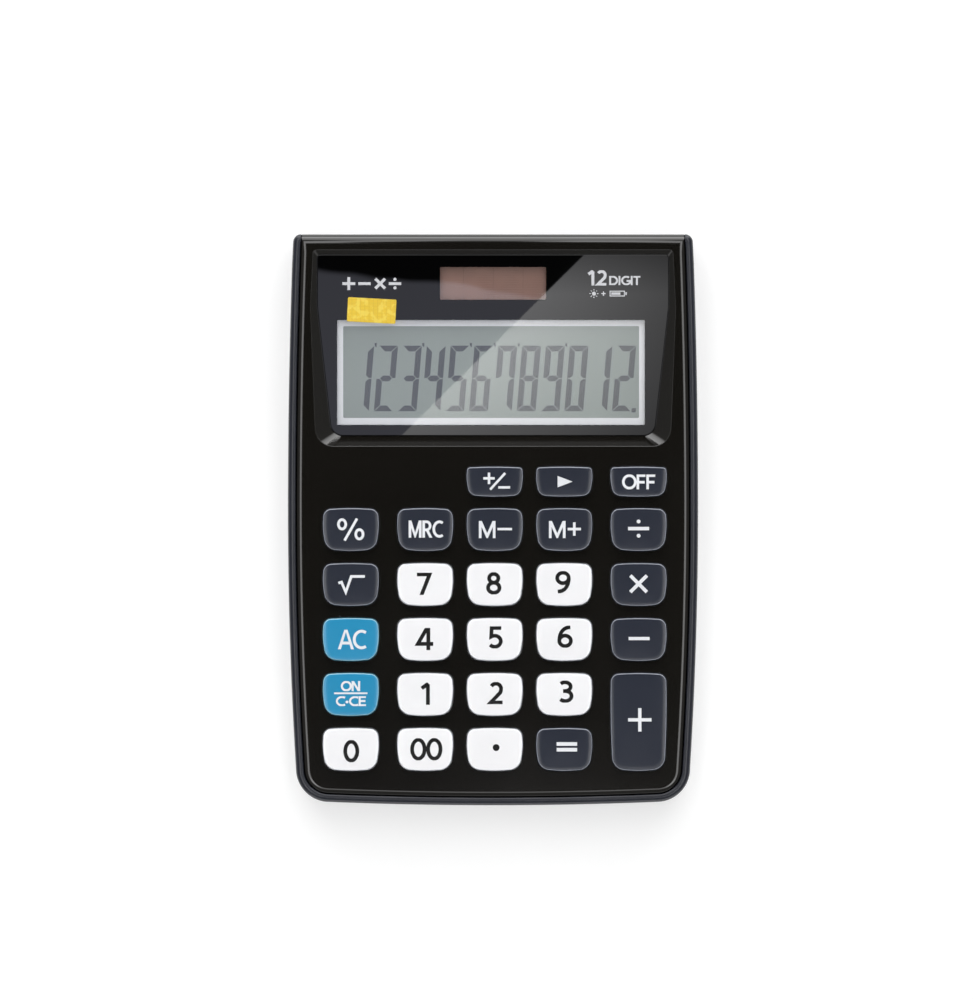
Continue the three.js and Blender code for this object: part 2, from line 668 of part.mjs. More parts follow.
function frontCase() {
  const tub = loft([
    inLens(lensOutline(TUB_WALL + LENS_CLEARANCE), TUB_BOTTOM),
    at(recessOutline(TUB_WALL), -FACE_WALL / 2),
  ]);
  const bosses = caseScrews.map(([u, v]) =>
    prism(
      circle(BOSS_RADIUS, u, v, SMALL_ROUND_SIDES),
      seatDepth(v) + REAR_BOSS_RISE + SEAM,
      v > RECESS_FRONT ? TUB_BOTTOM : -FACE_WALL / 2,
    ),
  );
  const posts = boardScrews.map(([u, v]) =>
    prism(circle(POST_RADIUS, u, v, SMALL_ROUND_SIDES), BOARD_TOP + SEAM, -FACE_WALL / 2),
  );
  const recess = loft([
    inLens(lensOutline(LENS_CLEARANCE), LENS_SEAT),
    inLens(lensOutline(LENS_CLEARANCE), 0),
    at(recessOutline(0), 0),
    at(recessOutline(0), BEYOND),
  ]);
  const windows = [lcdOutline(GLASS_GAP), solarOutline(GLASS_GAP)].map((outline) =>
    loft([inLens(outline, TUB_BOTTOM - BEYOND), inLens(outline, LENS_SEAT + LENS_BED)]),
  );
  const keyHoles = keys.map((key) =>
    prism(keyOutline(key, KEY_CLEARANCE), -FACE_WALL - BEYOND, BEYOND),
  );
  const screwHoles = caseScrews.map(([u, v]) => {
    const seat = seatDepth(v);
    return prism(
      circle(CASE_SCREW_RADIUS + SCREW_HOLE_CLEARANCE, u, v, SMALL_ROUND_SIDES),
      seat,
      seat + CASE_SCREW_LENGTH + SEAM,
    );
  });
  const postHoles = boardScrews.map(([u, v]) =>
    prism(
      circle(BOARD_SCREW_RADIUS + SCREW_HOLE_CLEARANCE, u, v, SMALL_ROUND_SIDES),
      BOARD_BOTTOM,
      BOARD_BOTTOM + BOARD_SCREW_LENGTH + SEAM,
    ),
  );
  const body = joined(frontPlate(), [tub, ...bosses, ...posts]);
  return cut(body, [recess, ...windows, ...keyHoles, ...screwHoles, ...postHoles]);
}

add("front_case", frontCase(), glossBlack);

// ---- Rear case, in the base frame ----
const labelY = (FRONT_EDGE + RECESS_FRONT) / 2 + LABEL_OFFSET;
const feet = [-1, 1].flatMap((side) => [
  [side, "front", sideAt(FRONT_EDGE + FRONT_FOOT_MARGIN) - FRONT_FOOT_INSET, FRONT_EDGE + FRONT_FOOT_MARGIN],
  [side, "rear", sideAt(REAR_EDGE - REAR_FOOT_MARGIN) - REAR_FOOT_INSET, REAR_EDGE - REAR_FOOT_MARGIN],
]);
const [cellX, cellY] = [CELL_OFFSET, CELL_LINE];

function inBaseFrame(geometry) {
  return geometry.applyMatrix4(face.matrixWorld);
}

function coverOutline(grow) {
  return rectangle(COVER_WIDTH + 2 * grow, COVER_LENGTH + 2 * grow, COVER_RADIUS, cellX, cellY);
}

function rearCase() {
  const shell = loft([
    onBase(caseOutline(BASE_ROUNDING), UNDERSIDE),
    onBase(caseOutline(BASE_ROUNDING * 0.3), UNDERSIDE + BASE_ROUNDING * 0.3),
    onBase(caseOutline(0), UNDERSIDE + BASE_ROUNDING),
    onFace(caseOutline(0), -RIM_ROUNDING),
    onFace(caseOutline(RIM_ROUNDING * 0.3), -RIM_ROUNDING * 0.3),
    onFace(caseOutline(RIM_ROUNDING), 0),
  ]);
  const hollow = loft([
    onBase(caseOutline(RIM_WIDTH), BASE_INSIDE),
    onFace(caseOutline(RIM_WIDTH), BEYOND),
  ]);
  const notchHalf = sideAt(REAR_EDGE) - RIM_WIDTH;
  const notch = block(2 * notchHalf, 3 * RIM_WIDTH, 0, REAR_EDGE, -SKIRT_DEPTH - SEAM, BEYOND);
  const bosses = caseScrews.map(([u, v]) =>
    inBaseFrame(
      prism(
        circle(REAR_BOSS_RADIUS, u, v, SMALL_ROUND_SIDES),
        depthAt(v, UNDERSIDE) + BASE_WALL / 2,
        seatDepth(v) + REAR_BOSS_RISE,
      ),
    ),
  );
  const holder = prism(circle(HOLDER_RADIUS, cellX, cellY), BASE_INSIDE - BASE_WALL / 4, HOLDER_TOP);
  const counterbores = caseScrews.map(([u, v]) =>
    inBaseFrame(
      prism(
        circle(COUNTERBORE_RADIUS, u, v, SMALL_ROUND_SIDES),
        depthAt(v, UNDERSIDE) - BEYOND,
        seatDepth(v),
      ),
    ),
  );
  const screwHoles = caseScrews.map(([u, v]) =>
    inBaseFrame(
      prism(
        circle(CASE_SCREW_RADIUS + SCREW_HOLE_CLEARANCE, u, v, SMALL_ROUND_SIDES),
        seatDepth(v) - BEYOND,
        seatDepth(v) + REAR_BOSS_RISE + BEYOND,
      ),
    ),
  );
  const footHoles = feet.map(([side, , x, y]) =>
    prism(circle(FOOT_RADIUS + FOOT_CLEARANCE, side * x, y), -BEYOND, UNDERSIDE + FOOT_RECESS),
  );
  const labelHole = prism(
    rectangle(
      LABEL_WIDTH + 2 * LABEL_CLEARANCE,
      LABEL_HEIGHT + 2 * LABEL_CLEARANCE,
      LABEL_RADIUS + LABEL_CLEARANCE,
      0,
      labelY,
    ),
    -BEYOND,
    UNDERSIDE + LABEL_RECESS,
  );
  const well = prism(circle(WELL_RADIUS, cellX, cellY), -BEYOND, WELL_TOP);
  const coverHole = prism(
    coverOutline(COVER_CLEARANCE),
    -BEYOND,
    COVER_TOP + COVER_SEAT_GAP,
  );
  const body = cut(solid(shell), [hollow]);
  return cut(joined(body, [...bosses, holder]), [
    inBaseFrame(notch),
    ...counterbores,
    ...screwHoles,
    ...footHoles,
    labelHole,
    well,
    coverHole,
    ...coverSlots(),
    ...contactSlots(),
  ]);
}

// ---- Battery cover: a plate with two hooks at its rear edge and a spring latch at its front edge ----
function block(width, length, x, y, low, high) {
  const box = new THREE.BoxGeometry(width, length, high - low);
  return box.translate(x, y, (low + high) / 2);
}

const hookLow = BASE_INSIDE + HOOK_GAP;
const hookHigh = hookLow + HOOK_THICKNESS;
const coverMiddle = (UNDERSIDE + COVER_TOP) / 2;
const hookXs = [-1, 1].map((side) => cellX + (side * HOOK_SPACING) / 2);
const coverRear = cellY + COVER_LENGTH / 2;
const coverFront = cellY - COVER_LENGTH / 2;
const latchY = coverFront + LATCH_THICKNESS / 2 + COVER_CLEARANCE;

function batteryCover() {
  const plate = prism(coverOutline(0), UNDERSIDE, COVER_TOP);
  const hooks = hookXs.flatMap((x) => [
    block(HOOK_WIDTH, HOOK_THICKNESS, x, coverRear - HOOK_THICKNESS / 2, coverMiddle, hookHigh),
    block(HOOK_WIDTH, HOOK_REACH, x, coverRear - HOOK_OVERLAP + HOOK_REACH / 2, hookLow, hookHigh),
  ]);
  const latch = block(LATCH_WIDTH, LATCH_THICKNESS, cellX, latchY, coverMiddle, BASE_INSIDE + LATCH_HEIGHT);
  return joined(solid(plate), [...hooks, latch]);
}

// Slots in the ledge round the cover, for its hooks and its latch.
function coverSlots() {
  const slotWidth = HOOK_WIDTH + 2 * COVER_CLEARANCE;
  const hookSlots = hookXs.map((x) =>
    block(slotWidth, 4 * HOOK_THICKNESS, x, HINGE_LINE - 2 * HOOK_THICKNESS, UNDERSIDE, BASE_INSIDE + BEYOND),
  );
  const latchLength = 3 * LATCH_THICKNESS;
  const latchSlot = block(
    LATCH_WIDTH + 2 * COVER_CLEARANCE,
    latchLength,
    cellX,
    coverFront - COVER_CLEARANCE + latchLength / 2,
    UNDERSIDE,
    BASE_INSIDE + BEYOND,
  );
  return [...hookSlots, latchSlot];
}

// ---- Cell and its contacts ----
const negativeLow = CELL_TOP + GLASS_GAP;
const negativeHigh = negativeLow + CONTACT_THICKNESS;
const negativeTailY = cellY - HOLDER_RADIUS - CONTACT_TAIL;
const positiveX = cellX - WELL_RADIUS - GLASS_GAP - CONTACT_THICKNESS / 2;
const positiveTop = HOLDER_TOP + CONTACT_TAIL;

function contactSlots() {
  const width = CONTACT_WIDTH + 2 * CONTACT_SLOT_CLEARANCE;
  return [
    block(
      width,
      HOLDER_RADIUS,
      cellX,
      cellY - HOLDER_RADIUS,
      negativeLow - CONTACT_SLOT_CLEARANCE,
      negativeHigh + CONTACT_SLOT_CLEARANCE,
    ),
    block(
      CONTACT_THICKNESS + 2 * GLASS_GAP,
      width,
      positiveX,
      cellY,
      CELL_BOTTOM,
      HOLDER_TOP + BEYOND,
    ),
  ];
}

function buttonCell() {
  const ring = (inset, height) => at(circle(CELL_RADIUS - inset, cellX, cellY), height);
  return loft([
    ring(CELL_ROUNDING, CELL_BOTTOM),
    ring(0, CELL_BOTTOM + CELL_ROUNDING),
    ring(0, CELL_TOP - CELL_STEP),
    ring(CELL_STEP, CELL_TOP - CELL_STEP),
    ring(CELL_STEP, CELL_TOP),
  ]);
}

function negativeContact() {
  const rear = cellY + CELL_RADIUS / 2;
  const leaf = block(
    CONTACT_WIDTH,
    rear - negativeTailY,
    cellX,
    (rear + negativeTailY) / 2,
    negativeLow,
    negativeHigh,
  );
  const tail = block(
    CONTACT_WIDTH,
    CONTACT_THICKNESS,
    cellX,
    negativeTailY + CONTACT_THICKNESS / 2,
    negativeLow,
    negativeHigh + CONTACT_TAIL,
  );
  return joined(solid(leaf), [tail]);
}

add("rear_case", rearCase(), caseSlate, calculator);
add("battery_cover", batteryCover(), caseSlate, calculator);
add("button_cell", buttonCell(), cellSteel, calculator);
add("battery_contact_negative", negativeContact(), contactSteel, calculator);
add(
  "battery_contact_positive",
  block(CONTACT_THICKNESS, CONTACT_WIDTH, positiveX, cellY, CELL_BOTTOM + GLASS_GAP, positiveTop),
  contactSteel,
  calculator,
);

// ---- Feet and label ----
for (const [side, end, x, y] of feet) {
  const name = "foot_" + end + (side < 0 ? "_left" : "_right");
  const foot = loft([
    at(circle(FOOT_RADIUS - FOOT_ROUNDING, side * x, y), 0),
    at(circle(FOOT_RADIUS, side * x, y), FOOT_ROUNDING),
    at(circle(FOOT_RADIUS, side * x, y), FOOT_PROUD + FOOT_RECESS - FOOT_CLEARANCE),
  ]);
  add(name, foot, footRubber, calculator);
}

const labelTop = UNDERSIDE + LABEL_RECESS - LABEL_GAP;
add(
  "rating_label",
  prism(rectangle(LABEL_WIDTH, LABEL_HEIGHT, LABEL_RADIUS, 0, labelY), labelTop - LABEL_THICKNESS, labelTop),
  labelSilver,
  calculator,
);

// ---- Rubber mat: one sheet with a hollow dome under each key ----
function boardOutline() {
  const length = BOARD_REAR - BOARD_FRONT;
  return rectangle(2 * BOARD_HALF, length, BOARD_CORNER_RADIUS, 0, BOARD_FRONT + length / 2);
}

function keyMat() {
  const sheet = prism(boardOutline(), MAT_BOTTOM, MAT_TOP);
  const domeReach = (key) => Math.min(DOME_RADIUS, key.height / 2);
  const domes = keys.map((key) =>
    loft([
      at(circle(domeReach(key), key.u, key.v, DOME_SIDES), MAT_TOP - MAT_THICKNESS / 2),
      at(circle(domeReach(key), key.u, key.v, DOME_SIDES), MAT_TOP),
      at(circle(DOME_TOP_RADIUS, key.u, key.v, DOME_SIDES), MAT_TOP + DOME_HEIGHT),
    ]),
  );
  const hollows = keys.map((key) =>
    prism(
      circle(DOME_HOLLOW_RADIUS, key.u, key.v, DOME_SIDES),
      MAT_BOTTOM - BEYOND,
      MAT_BOTTOM + DOME_HOLLOW_DEPTH,
    ),
  );
  const postHoles = boardScrews.map(([u, v]) =>
    prism(
      circle(POST_RADIUS + POST_HOLE_CLEARANCE, u, v, SMALL_ROUND_SIDES),
      MAT_BOTTOM - BEYOND,
      MAT_TOP + BEYOND,
    ),
  );
  return cut(joined(solid(sheet), domes), [...hollows, ...postHoles]);
}

add("key_mat", keyMat(), matRubber);

// ---- Board, its chip and its screws ----
function mainBoard() {
  const sheet = prism(boardOutline(), BOARD_BOTTOM, BOARD_TOP);
  const holes = boardScrews.map(([u, v]) =>
    prism(
      circle(BOARD_SCREW_RADIUS + SCREW_HOLE_CLEARANCE, u, v, SMALL_ROUND_SIDES),
      BOARD_BOTTOM - BEYOND,
      BOARD_TOP + BEYOND,
    ),
  );
  return cut(solid(sheet), holes);
}

function chipBlob() {
  const u = CHIP_OFFSET;
  const v = BOARD_REAR - CHIP_REAR_MARGIN;
  const top = BOARD_BOTTOM - SCREW_GAP;
  const rise = [75, 40, 0].map((angle) => THREE.MathUtils.degToRad(angle));
  return loft(
    rise.map((angle) =>
      at(circle(CHIP_RADIUS * Math.cos(angle), u, v), top - CHIP_HEIGHT * Math.sin(angle)),
    ),
  );
}

function screw(u, v, seat, head, headHeight, shank, length) {
  const ring = (radius, w) => at(circle(radius, u, v, SMALL_ROUND_SIDES), w);
  return loft([
    ring(head - SCREW_CHAMFER, seat - headHeight),
    ring(head, seat - headHeight + SCREW_CHAMFER),
    ring(head, seat),
    ring(shank, seat),
    ring(shank, seat + length - shank),
    ring(shank / 2, seat + length),
  ]);
}

add("main_board", mainBoard(), boardGreen);
add("chip_blob", chipBlob(), epoxyBlack);

boardScrews.forEach(([u, v], i) => {
  const shape = screw(
    u,
    v,
    BOARD_BOTTOM - SCREW_GAP,
    BOARD_SCREW_HEAD_RADIUS,
    BOARD_SCREW_HEAD_HEIGHT,
    BOARD_SCREW_RADIUS,
    BOARD_SCREW_LENGTH,
  );
  add("board_screw_" + (i + 1), shape, screwSteel);
});

caseScrews.forEach(([u, v], i) => {
  const shape = screw(
    u,
    v,
    seatDepth(v) - SCREW_GAP,
    CASE_SCREW_HEAD_RADIUS,
    CASE_SCREW_HEAD_HEIGHT,
    CASE_SCREW_RADIUS,
    CASE_SCREW_LENGTH,
  );
  add("case_screw_" + (i + 1), shape, screwSteel);
});

// ---- Film connector from the display's underside to the board's ----
function connectorPath() {
  const underDisplay = (y) => {
    const p = new THREE.Vector3(0, y, glassTop - LCD_THICKNESS - WIRE_GAP).applyMatrix4(lensFrame.matrix);
    return [p.y, p.z];
  };
  const underBoard = BOARD_BOTTOM - WIRE_GAP;
  const displayFront = lcdY - LCD_HEIGHT / 2;
  const tubUnder = new THREE.Vector3(0, -LENS_LENGTH, TUB_BOTTOM).applyMatrix4(lensFrame.matrix).z;
  return [
    underDisplay(displayFront + CONNECTOR_OVERLAP),
    underDisplay(displayFront + CONNECTOR_OVERLAP / 2),
    [RECESS_FRONT + RING_FRONT, Math.min(tubUnder, underBoard) - WIRE_GAP],
    [BOARD_REAR, underBoard],
    [BOARD_REAR - CONNECTOR_OVERLAP, underBoard],
  ];
}

function lcdConnector() {
  const upper = connectorPath().map(([v, w]) => new THREE.Vector2(v, w));
  const lower = upper.map((p) => new THREE.Vector2(p.x, p.y - CONNECTOR_THICKNESS)).reverse();
  const half = -gapColumns[0] - REAR_BOSS_RADIUS - CONNECTOR_BOSS_GAP;
  const strip = prism([...upper, ...lower], -half, half);
  return strip.applyMatrix4(
    new THREE.Matrix4().makeBasis(
      new THREE.Vector3(0, 1, 0),
      new THREE.Vector3(0, 0, 1),
      new THREE.Vector3(1, 0, 0),
    ),
  );
}

add("lcd_connector", lcdConnector(), filmAmber);

// ---- Wires, each from its contact to a pad under the board's rear edge ----
const padDepth = BOARD_BOTTOM - WIRE_GAP - WIRE_RADIUS;
const padV = BOARD_REAR - PAD_MARGIN;

function pad(u, beyond = 0) {
  return new THREE.Vector3(u, padV + beyond, padDepth);
}

function fromBase(x, y, z) {
  return face.worldToLocal(new THREE.Vector3(x, y, z));
}

const wireLane = gapColumns[1] + BOSS_RADIUS + WIRE_BOSS_GAP;
const solarBack = glassTop - SOLAR_THICKNESS - WIRE_GAP - WIRE_RADIUS;

function solarWire(side, lane) {
  const start = (x, y, drop) => new THREE.Vector3(x, y, solarBack - drop).applyMatrix4(lensFrame.matrix);
  return tube(
    [
      start(side * SOLAR_WIDTH * 0.3, solarY, 0.1),
      start(side * SOLAR_WIDTH * 0.36, solarY, 1.5),
      new THREE.Vector3(lane * 0.8, LENS_REAR - SOLAR_HEIGHT * 1.8, padDepth),
      new THREE.Vector3(lane, (LENS_REAR + RECESS_FRONT) / 2, padDepth),
      pad(lane, 8),
      pad(lane),
    ],
    WIRE_RADIUS,
  );
}

function batteryWire(x, y, z, lane) {
  return tube(
    [
      fromBase(x, y, z),
      fromBase(x - 1.5, y - 1.5, z + 0.3),
      pad(lane, 9),
      pad(lane),
    ],
    WIRE_RADIUS,
  );
}

add("solar_wire_positive", solarWire(1, wireLane), wireRed);
add("solar_wire_negative", solarWire(-1, -wireLane - 2 * WIRE_SPACING), wireBlack);
add(
  "battery_wire_positive",
  batteryWire(positiveX - WIRE_RADIUS - 0.3, cellY, positiveTop - 0.8, -wireLane - WIRE_SPACING),
  wireRed,
);
add(
  "battery_wire_negative",
  batteryWire(cellX, negativeTailY - WIRE_RADIUS - 0.2, negativeHigh + 0.8, -wireLane),
  wireBlack,
);

// ---- The origin is the middle of the footprint, on the table ----
calculator.updateMatrixWorld(true);
const bounds = new THREE.Box3().setFromObject(calculator, true);
const middle = bounds.getCenter(new THREE.Vector3());
calculator.position.set(-middle.x, -middle.y, -bounds.min.z);

export default calculator;
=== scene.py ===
import math

import bmesh
import bpy
from mathutils import Matrix, Vector
from mathutils.geometry import convex_hull_2d, delaunay_2d_cdt


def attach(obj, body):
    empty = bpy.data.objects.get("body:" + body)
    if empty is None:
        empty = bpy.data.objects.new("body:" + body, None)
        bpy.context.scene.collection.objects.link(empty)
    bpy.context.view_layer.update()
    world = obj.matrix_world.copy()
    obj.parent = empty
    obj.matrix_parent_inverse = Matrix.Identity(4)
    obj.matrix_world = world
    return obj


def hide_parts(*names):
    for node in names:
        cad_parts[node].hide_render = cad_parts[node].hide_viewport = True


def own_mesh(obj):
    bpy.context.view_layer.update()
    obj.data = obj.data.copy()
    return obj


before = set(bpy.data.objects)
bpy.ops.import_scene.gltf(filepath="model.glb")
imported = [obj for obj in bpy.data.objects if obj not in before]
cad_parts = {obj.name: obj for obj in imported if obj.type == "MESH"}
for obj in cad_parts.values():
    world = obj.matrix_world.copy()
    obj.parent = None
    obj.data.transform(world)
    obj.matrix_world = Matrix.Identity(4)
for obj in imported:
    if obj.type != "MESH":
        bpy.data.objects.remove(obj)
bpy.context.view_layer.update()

MM = 0.001
BODY = "case"

# ---- Case ----
FACE_TILT = math.radians(4)
CASE_LENGTH = 120
CASE_WIDTH = 86.2
FRONT_TAPER = 2.2
REAR_TAPER = 1.1
FRONT_BOW = 1.1
WIDEST_LINE = 2
FRONT_CORNER_RADIUS = 7
REAR_CORNER_RADIUS = 1.7
RIM_WIDTH = 1.65
RIM_ROUNDING = 1
PLATE_EDGE = (1.2, 0.45)  # how far the front case's edge rolls inwards and down
BASE_ROUNDING = 1.2
BASE_WALL = 1.8
FACE_WALL = 1.8
SEAM = 0.2
SKIRT_DEPTH = 5
SKIRT_WALL = 1.8
SKIRT_ROUNDING = 2.2
EDGE_ROUNDING = 0.3
RECESS_ROUNDING = 0.14
BEYOND = 1  # how far a cutter runs past what it cuts

# ---- Display ----
LENS_TILT = math.radians(3)
LENS_THICKNESS = 1.2
LENS_CLEARANCE = 0.12
LENS_SEAT = -1.3
TUB_BOTTOM = -3.7
TUB_WALL = 1.2
RECESS_REAR_INSET = 0.6
RECESS_FRONT_INSET = 1.15
RECESS_SHOULDER = 12
RECESS_FRONT_RADIUS = 3.8
RECESS_REAR_RADIUS = 0.8
LENS_FRONT_RADIUS = 2.6
RING_REAR = 0.95
RING_REAR_SIDE = 0.75
RING_SHOULDER_SIDE = 1.35
RING_FRONT_SIDE = 3.2
RING_FRONT = 2.2
GLASS_GAP = 0.25
WINDOW = (64.7, 22.1, -0.44, -24.81)  # the display's window: width, height and middle
VIEW = (62.2, 19.3, -0.4, -24.75)  # the part of the display that its border leaves open
SOLAR_WINDOW = (22.3, 6.9, 0, -6.07)
PRINT_HEIGHT = 0.02
LENS_ROUGHNESS = 0.006

# ---- Keys ----
FLANGE_WIDTH = 0.6
FLANGE_THICKNESS = 0.9
KEY_CLEARANCE = 0.3
KEY_TAPER = 0.35
KEY_BOW = 0.15
KEY_SPREAD = 0.2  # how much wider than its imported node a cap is, on each side
KEY_DRAFT = 0.03
KEY_RADII = (1.6, 2.6)  # rear and front
SMALL_KEY_RADII = (0.6, 1.8)
SMALL_KEY_LIMIT = 8
KEY_CROWN = 0.09
LEGEND_PROUD = 0.025

# ---- Fasteners and cell ----
COUNTERBORE_RADIUS = 2
SCREW_SEAT = 2.6
SCREW_RADIUS = 1.05
BOSS_RADIUS = 2
REAR_BOSS_RADIUS = 2.6
REAR_BOSS_RISE = 1.3
SCREW_LENGTH = 4.8
POST_RADIUS = 1.3
POST_BORE = 0.8
FOOT_RECESS = 0.7
LABEL_RECESS = 0.2
CELL_CLEARANCE = 0.5
HOLDER_WALL = 1.3
COVER_CLEARANCE = 0.25
COVER_RADIUS = 1.5
LATCH_SLOT = (4.5, 2.4)
HOOK_SLOT = (3.3, 2.8)
HOOK_SPACING = 11


# ---- Frames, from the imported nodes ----
def extent(node, matrix=Matrix.Identity(4)):
    """A node's lowest and highest corners in millimetres, measured in a frame."""
    back = matrix.inverted()
    points = [back @ (v.co / MM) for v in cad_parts[node].data.vertices]
    return (
        Vector(min(p[i] for p in points) for i in range(3)),
        Vector(max(p[i] for p in points) for i in range(3)),
    )


face_turn = Matrix.Rotation(FACE_TILT, 4, "X")
lens_turn = Matrix.Rotation(FACE_TILT + LENS_TILT, 4, "X")
case_low, case_high = extent("rear_case", face_turn)
face_top = extent("front_case", face_turn)[1].z
lens_high = extent("display_lens", lens_turn)[1]
face_middle = face_turn @ Vector((0, (case_low.y + case_high.y) / 2, face_top))
FACE = Matrix.Translation(face_middle) @ face_turn
LENS = Matrix.Translation(lens_turn @ Vector((0, lens_high.y, lens_high.z))) @ lens_turn
BASE = Matrix.Identity(4)
LENS_IN_FACE = FACE.inverted() @ LENS
UNDERSIDE = extent("rear_case")[0].z
REAR_EDGE = CASE_LENGTH / 2
LENS_REAR = LENS_IN_FACE.translation.y
RECESS_REAR = LENS_REAR + RING_REAR
RECESS_HALF = CASE_WIDTH / 2 - 4.85
LENS_LENGTH = lens_high.y - extent("display_lens", lens_turn)[0].y
RECESS_FRONT = LENS_REAR - LENS_LENGTH * math.cos(LENS_TILT) - RING_FRONT


# ---- Outlines: lists of (x, y), anticlockwise ----
def arc(x, y, radius, start, end, steps, radius_y=None):
    radius_y = radius_y or radius
    angles = [math.radians(start + (end - start) * i / steps) for i in range(steps + 1)]
    return [(x + radius * math.cos(a), y + radius_y * math.sin(a)) for a in angles]


def circle(radius, x=0, y=0, sides=40):
    return arc(x, y, radius, 0, 360, sides)[:-1]


def rounded(corners, steps=8, bow=0.0):
    """A polygon with rounded corners (x, y, radius), whose edges bow out by a sagitta."""
    curves = []
    for i, (x, y, radius) in enumerate(corners):
        corner = Vector((x, y))
        before = (Vector(corners[i - 1][:2]) - corner).normalized()
        after = (Vector(corners[(i + 1) % len(corners)][:2]) - corner).normalized()
        half = before.angle(after) / 2
        centre = corner + (before + after).normalized() * radius / math.sin(half)
        start = math.degrees(math.atan2(-before.x, before.y)) + 180
        curves.append(arc(centre.x, centre.y, radius, start, start + 180 - 2 * math.degrees(half), steps))
    if not bow:
        return [p for curve in curves for p in curve]
    outline = []
    for i, curve in enumerate(curves):
        start, end = Vector(curve[-1]), Vector(curves[(i + 1) % len(curves)][0])
        out = Vector((end.y - start.y, start.x - end.x)).normalized() * bow
        outline += curve
        for share in (0.2, 0.4, 0.6, 0.8):
            outline.append(tuple(start.lerp(end, share) + out * 4 * share * (1 - share)))
    return outline


def rectangle(width, height, radius, x=0, y=0, steps=8):
    right, top = width / 2, height / 2
    corners = [(-right, -top), (right, -top), (right, top), (-right, top)]
    return rounded([(x + dx, y + dy, radius) for dx, dy in corners], steps)


def side_at(v):
    end, taper = (REAR_EDGE, REAR_TAPER) if v > WIDEST_LINE else (-REAR_EDGE, FRONT_TAPER)
    return CASE_WIDTH / 2 - taper * ((v - WIDEST_LINE) / (end - WIDEST_LINE)) ** 2


def front_at(u):
    return -REAR_EDGE + FRONT_BOW * (u / (CASE_WIDTH / 2)) ** 2


def case_outline(inset, rear_inset=None):
    """The case's outline, moved in by one distance at the sides and front and another at the rear."""
    radius = max(FRONT_CORNER_RADIUS - inset, 0.2)
    rear_radius = max(REAR_CORNER_RADIUS - inset, 0.2)
    rear = REAR_EDGE - (inset if rear_inset is None else rear_inset)
    x, y = side_at(-REAR_EDGE), -REAR_EDGE
    for _ in range(4):
        x = side_at(y) - inset - radius
        y = front_at(x) + inset + radius
    side_steps = 24
    right = arc(side_at(rear) - inset - rear_radius, rear - rear_radius, rear_radius, 90, 0, 8)
    start = rear - rear_radius
    for i in range(1, side_steps):
        v = start + (y - start) * i / side_steps
        right.append((side_at(v) - inset, v))
    right += arc(x, y, radius, 0, -90, 14)
    for i in range(1, side_steps):
        u = x * (1 - i / side_steps)
        right.append((u, front_at(u) + inset))
    left = [(-u, v) for u, v in right]
    return left + [(0, -REAR_EDGE + inset)] + right[::-1]


def recess_outline(grow):
    half, shoulder = RECESS_HALF + grow, RECESS_REAR - RECESS_SHOULDER
    front_half = half - RECESS_FRONT_INSET
    rear_half = half - RECESS_REAR_INSET
    front, rear = RECESS_FRONT - grow, RECESS_REAR + grow
    return rounded(
        [
            (-front_half, front, RECESS_FRONT_RADIUS + grow),
            (front_half, front, RECESS_FRONT_RADIUS + grow),
            (half, shoulder, RECESS_SHOULDER),
            (rear_half, rear, RECESS_REAR_RADIUS + grow),
            (-rear_half, rear, RECESS_REAR_RADIUS + grow),
            (-half, shoulder, RECESS_SHOULDER),
        ],
        10,
    )


def lens_outline(grow):
    shoulder = RING_REAR - RECESS_SHOULDER
    front_half = RECESS_HALF - RECESS_FRONT_INSET - RING_FRONT_SIDE + grow
    shoulder_half = RECESS_HALF - RING_SHOULDER_SIDE + grow
    rear_half = RECESS_HALF - RECESS_REAR_INSET - RING_REAR_SIDE + grow
    front = -LENS_LENGTH - grow
    return rounded(
        [
            (-front_half, front, LENS_FRONT_RADIUS + grow),
            (front_half, front, LENS_FRONT_RADIUS + grow),
            (shoulder_half, shoulder, RECESS_SHOULDER),
            (rear_half, grow, RECESS_REAR_RADIUS + grow),
            (-rear_half, grow, RECESS_REAR_RADIUS + grow),
            (-shoulder_half, shoulder, RECESS_SHOULDER),
        ],
        10,
    )


def at(outline, height, matrix=BASE):
    """An outline lifted to one height, as a ring of a loft. The height may be a function of (x, y)."""
    if not callable(height):
        return [matrix @ Vector((x, y, height)) for x, y in outline]
    return [matrix @ Vector((x, y, height(x, y))) for x, y in outline]


def depth_at(v, z):
    """The face frame's depth, at v, of a height above the table."""
    return (z - FACE.translation.z - v * math.sin(FACE_TILT)) / math.cos(FACE_TILT)


def on_base(outline, z):
    return at(outline, lambda u, v: depth_at(v, z), FACE)


# ---- Meshes ----
class Body:
    """A closed body's vertices and faces, made up of parts."""

    def __init__(self):
        self.points = []
        self.faces = []
        self.slots = []

    def add(self, points, faces, slot=0):
        start = len(self.points)
        self.points += [Vector(p) for p in points]
        self.faces += [[start + i for i in face] for face in faces]
        self.slots += [slot] * len(faces)
        return self

    def mesh(self, name, matrix=BASE):
        mesh = bpy.data.meshes.new(name)
        mesh.from_pydata([(matrix @ p) * MM for p in self.points], [], self.faces)
        mesh.polygons.foreach_set("material_index", self.slots)
        return mesh


def loft(rings, body=None):
    """A closed body through rings with the same number of points, from the lowest to the highest."""
    count = len(rings[0])
    faces = [list(range(count))[::-1]]
    for ring in range(len(rings) - 1):
        low, high = ring * count, (ring + 1) * count
        for i in range(count):
            after = (i + 1) % count
            faces.append([low + i, low + after, high + after, high + i])
    faces.append([(len(rings) - 1) * count + i for i in range(count)])
    return (body or Body()).add([p for ring in rings for p in ring], faces)


def prism(outline, low, high, matrix=BASE, body=None):
    return loft([at(outline, low, matrix), at(outline, high, matrix)], body)


def rod(radius, u, v, low, high, sides=24):
    """A round bar square to the face."""
    return prism(circle(radius, u, v, sides), low, high, FACE)


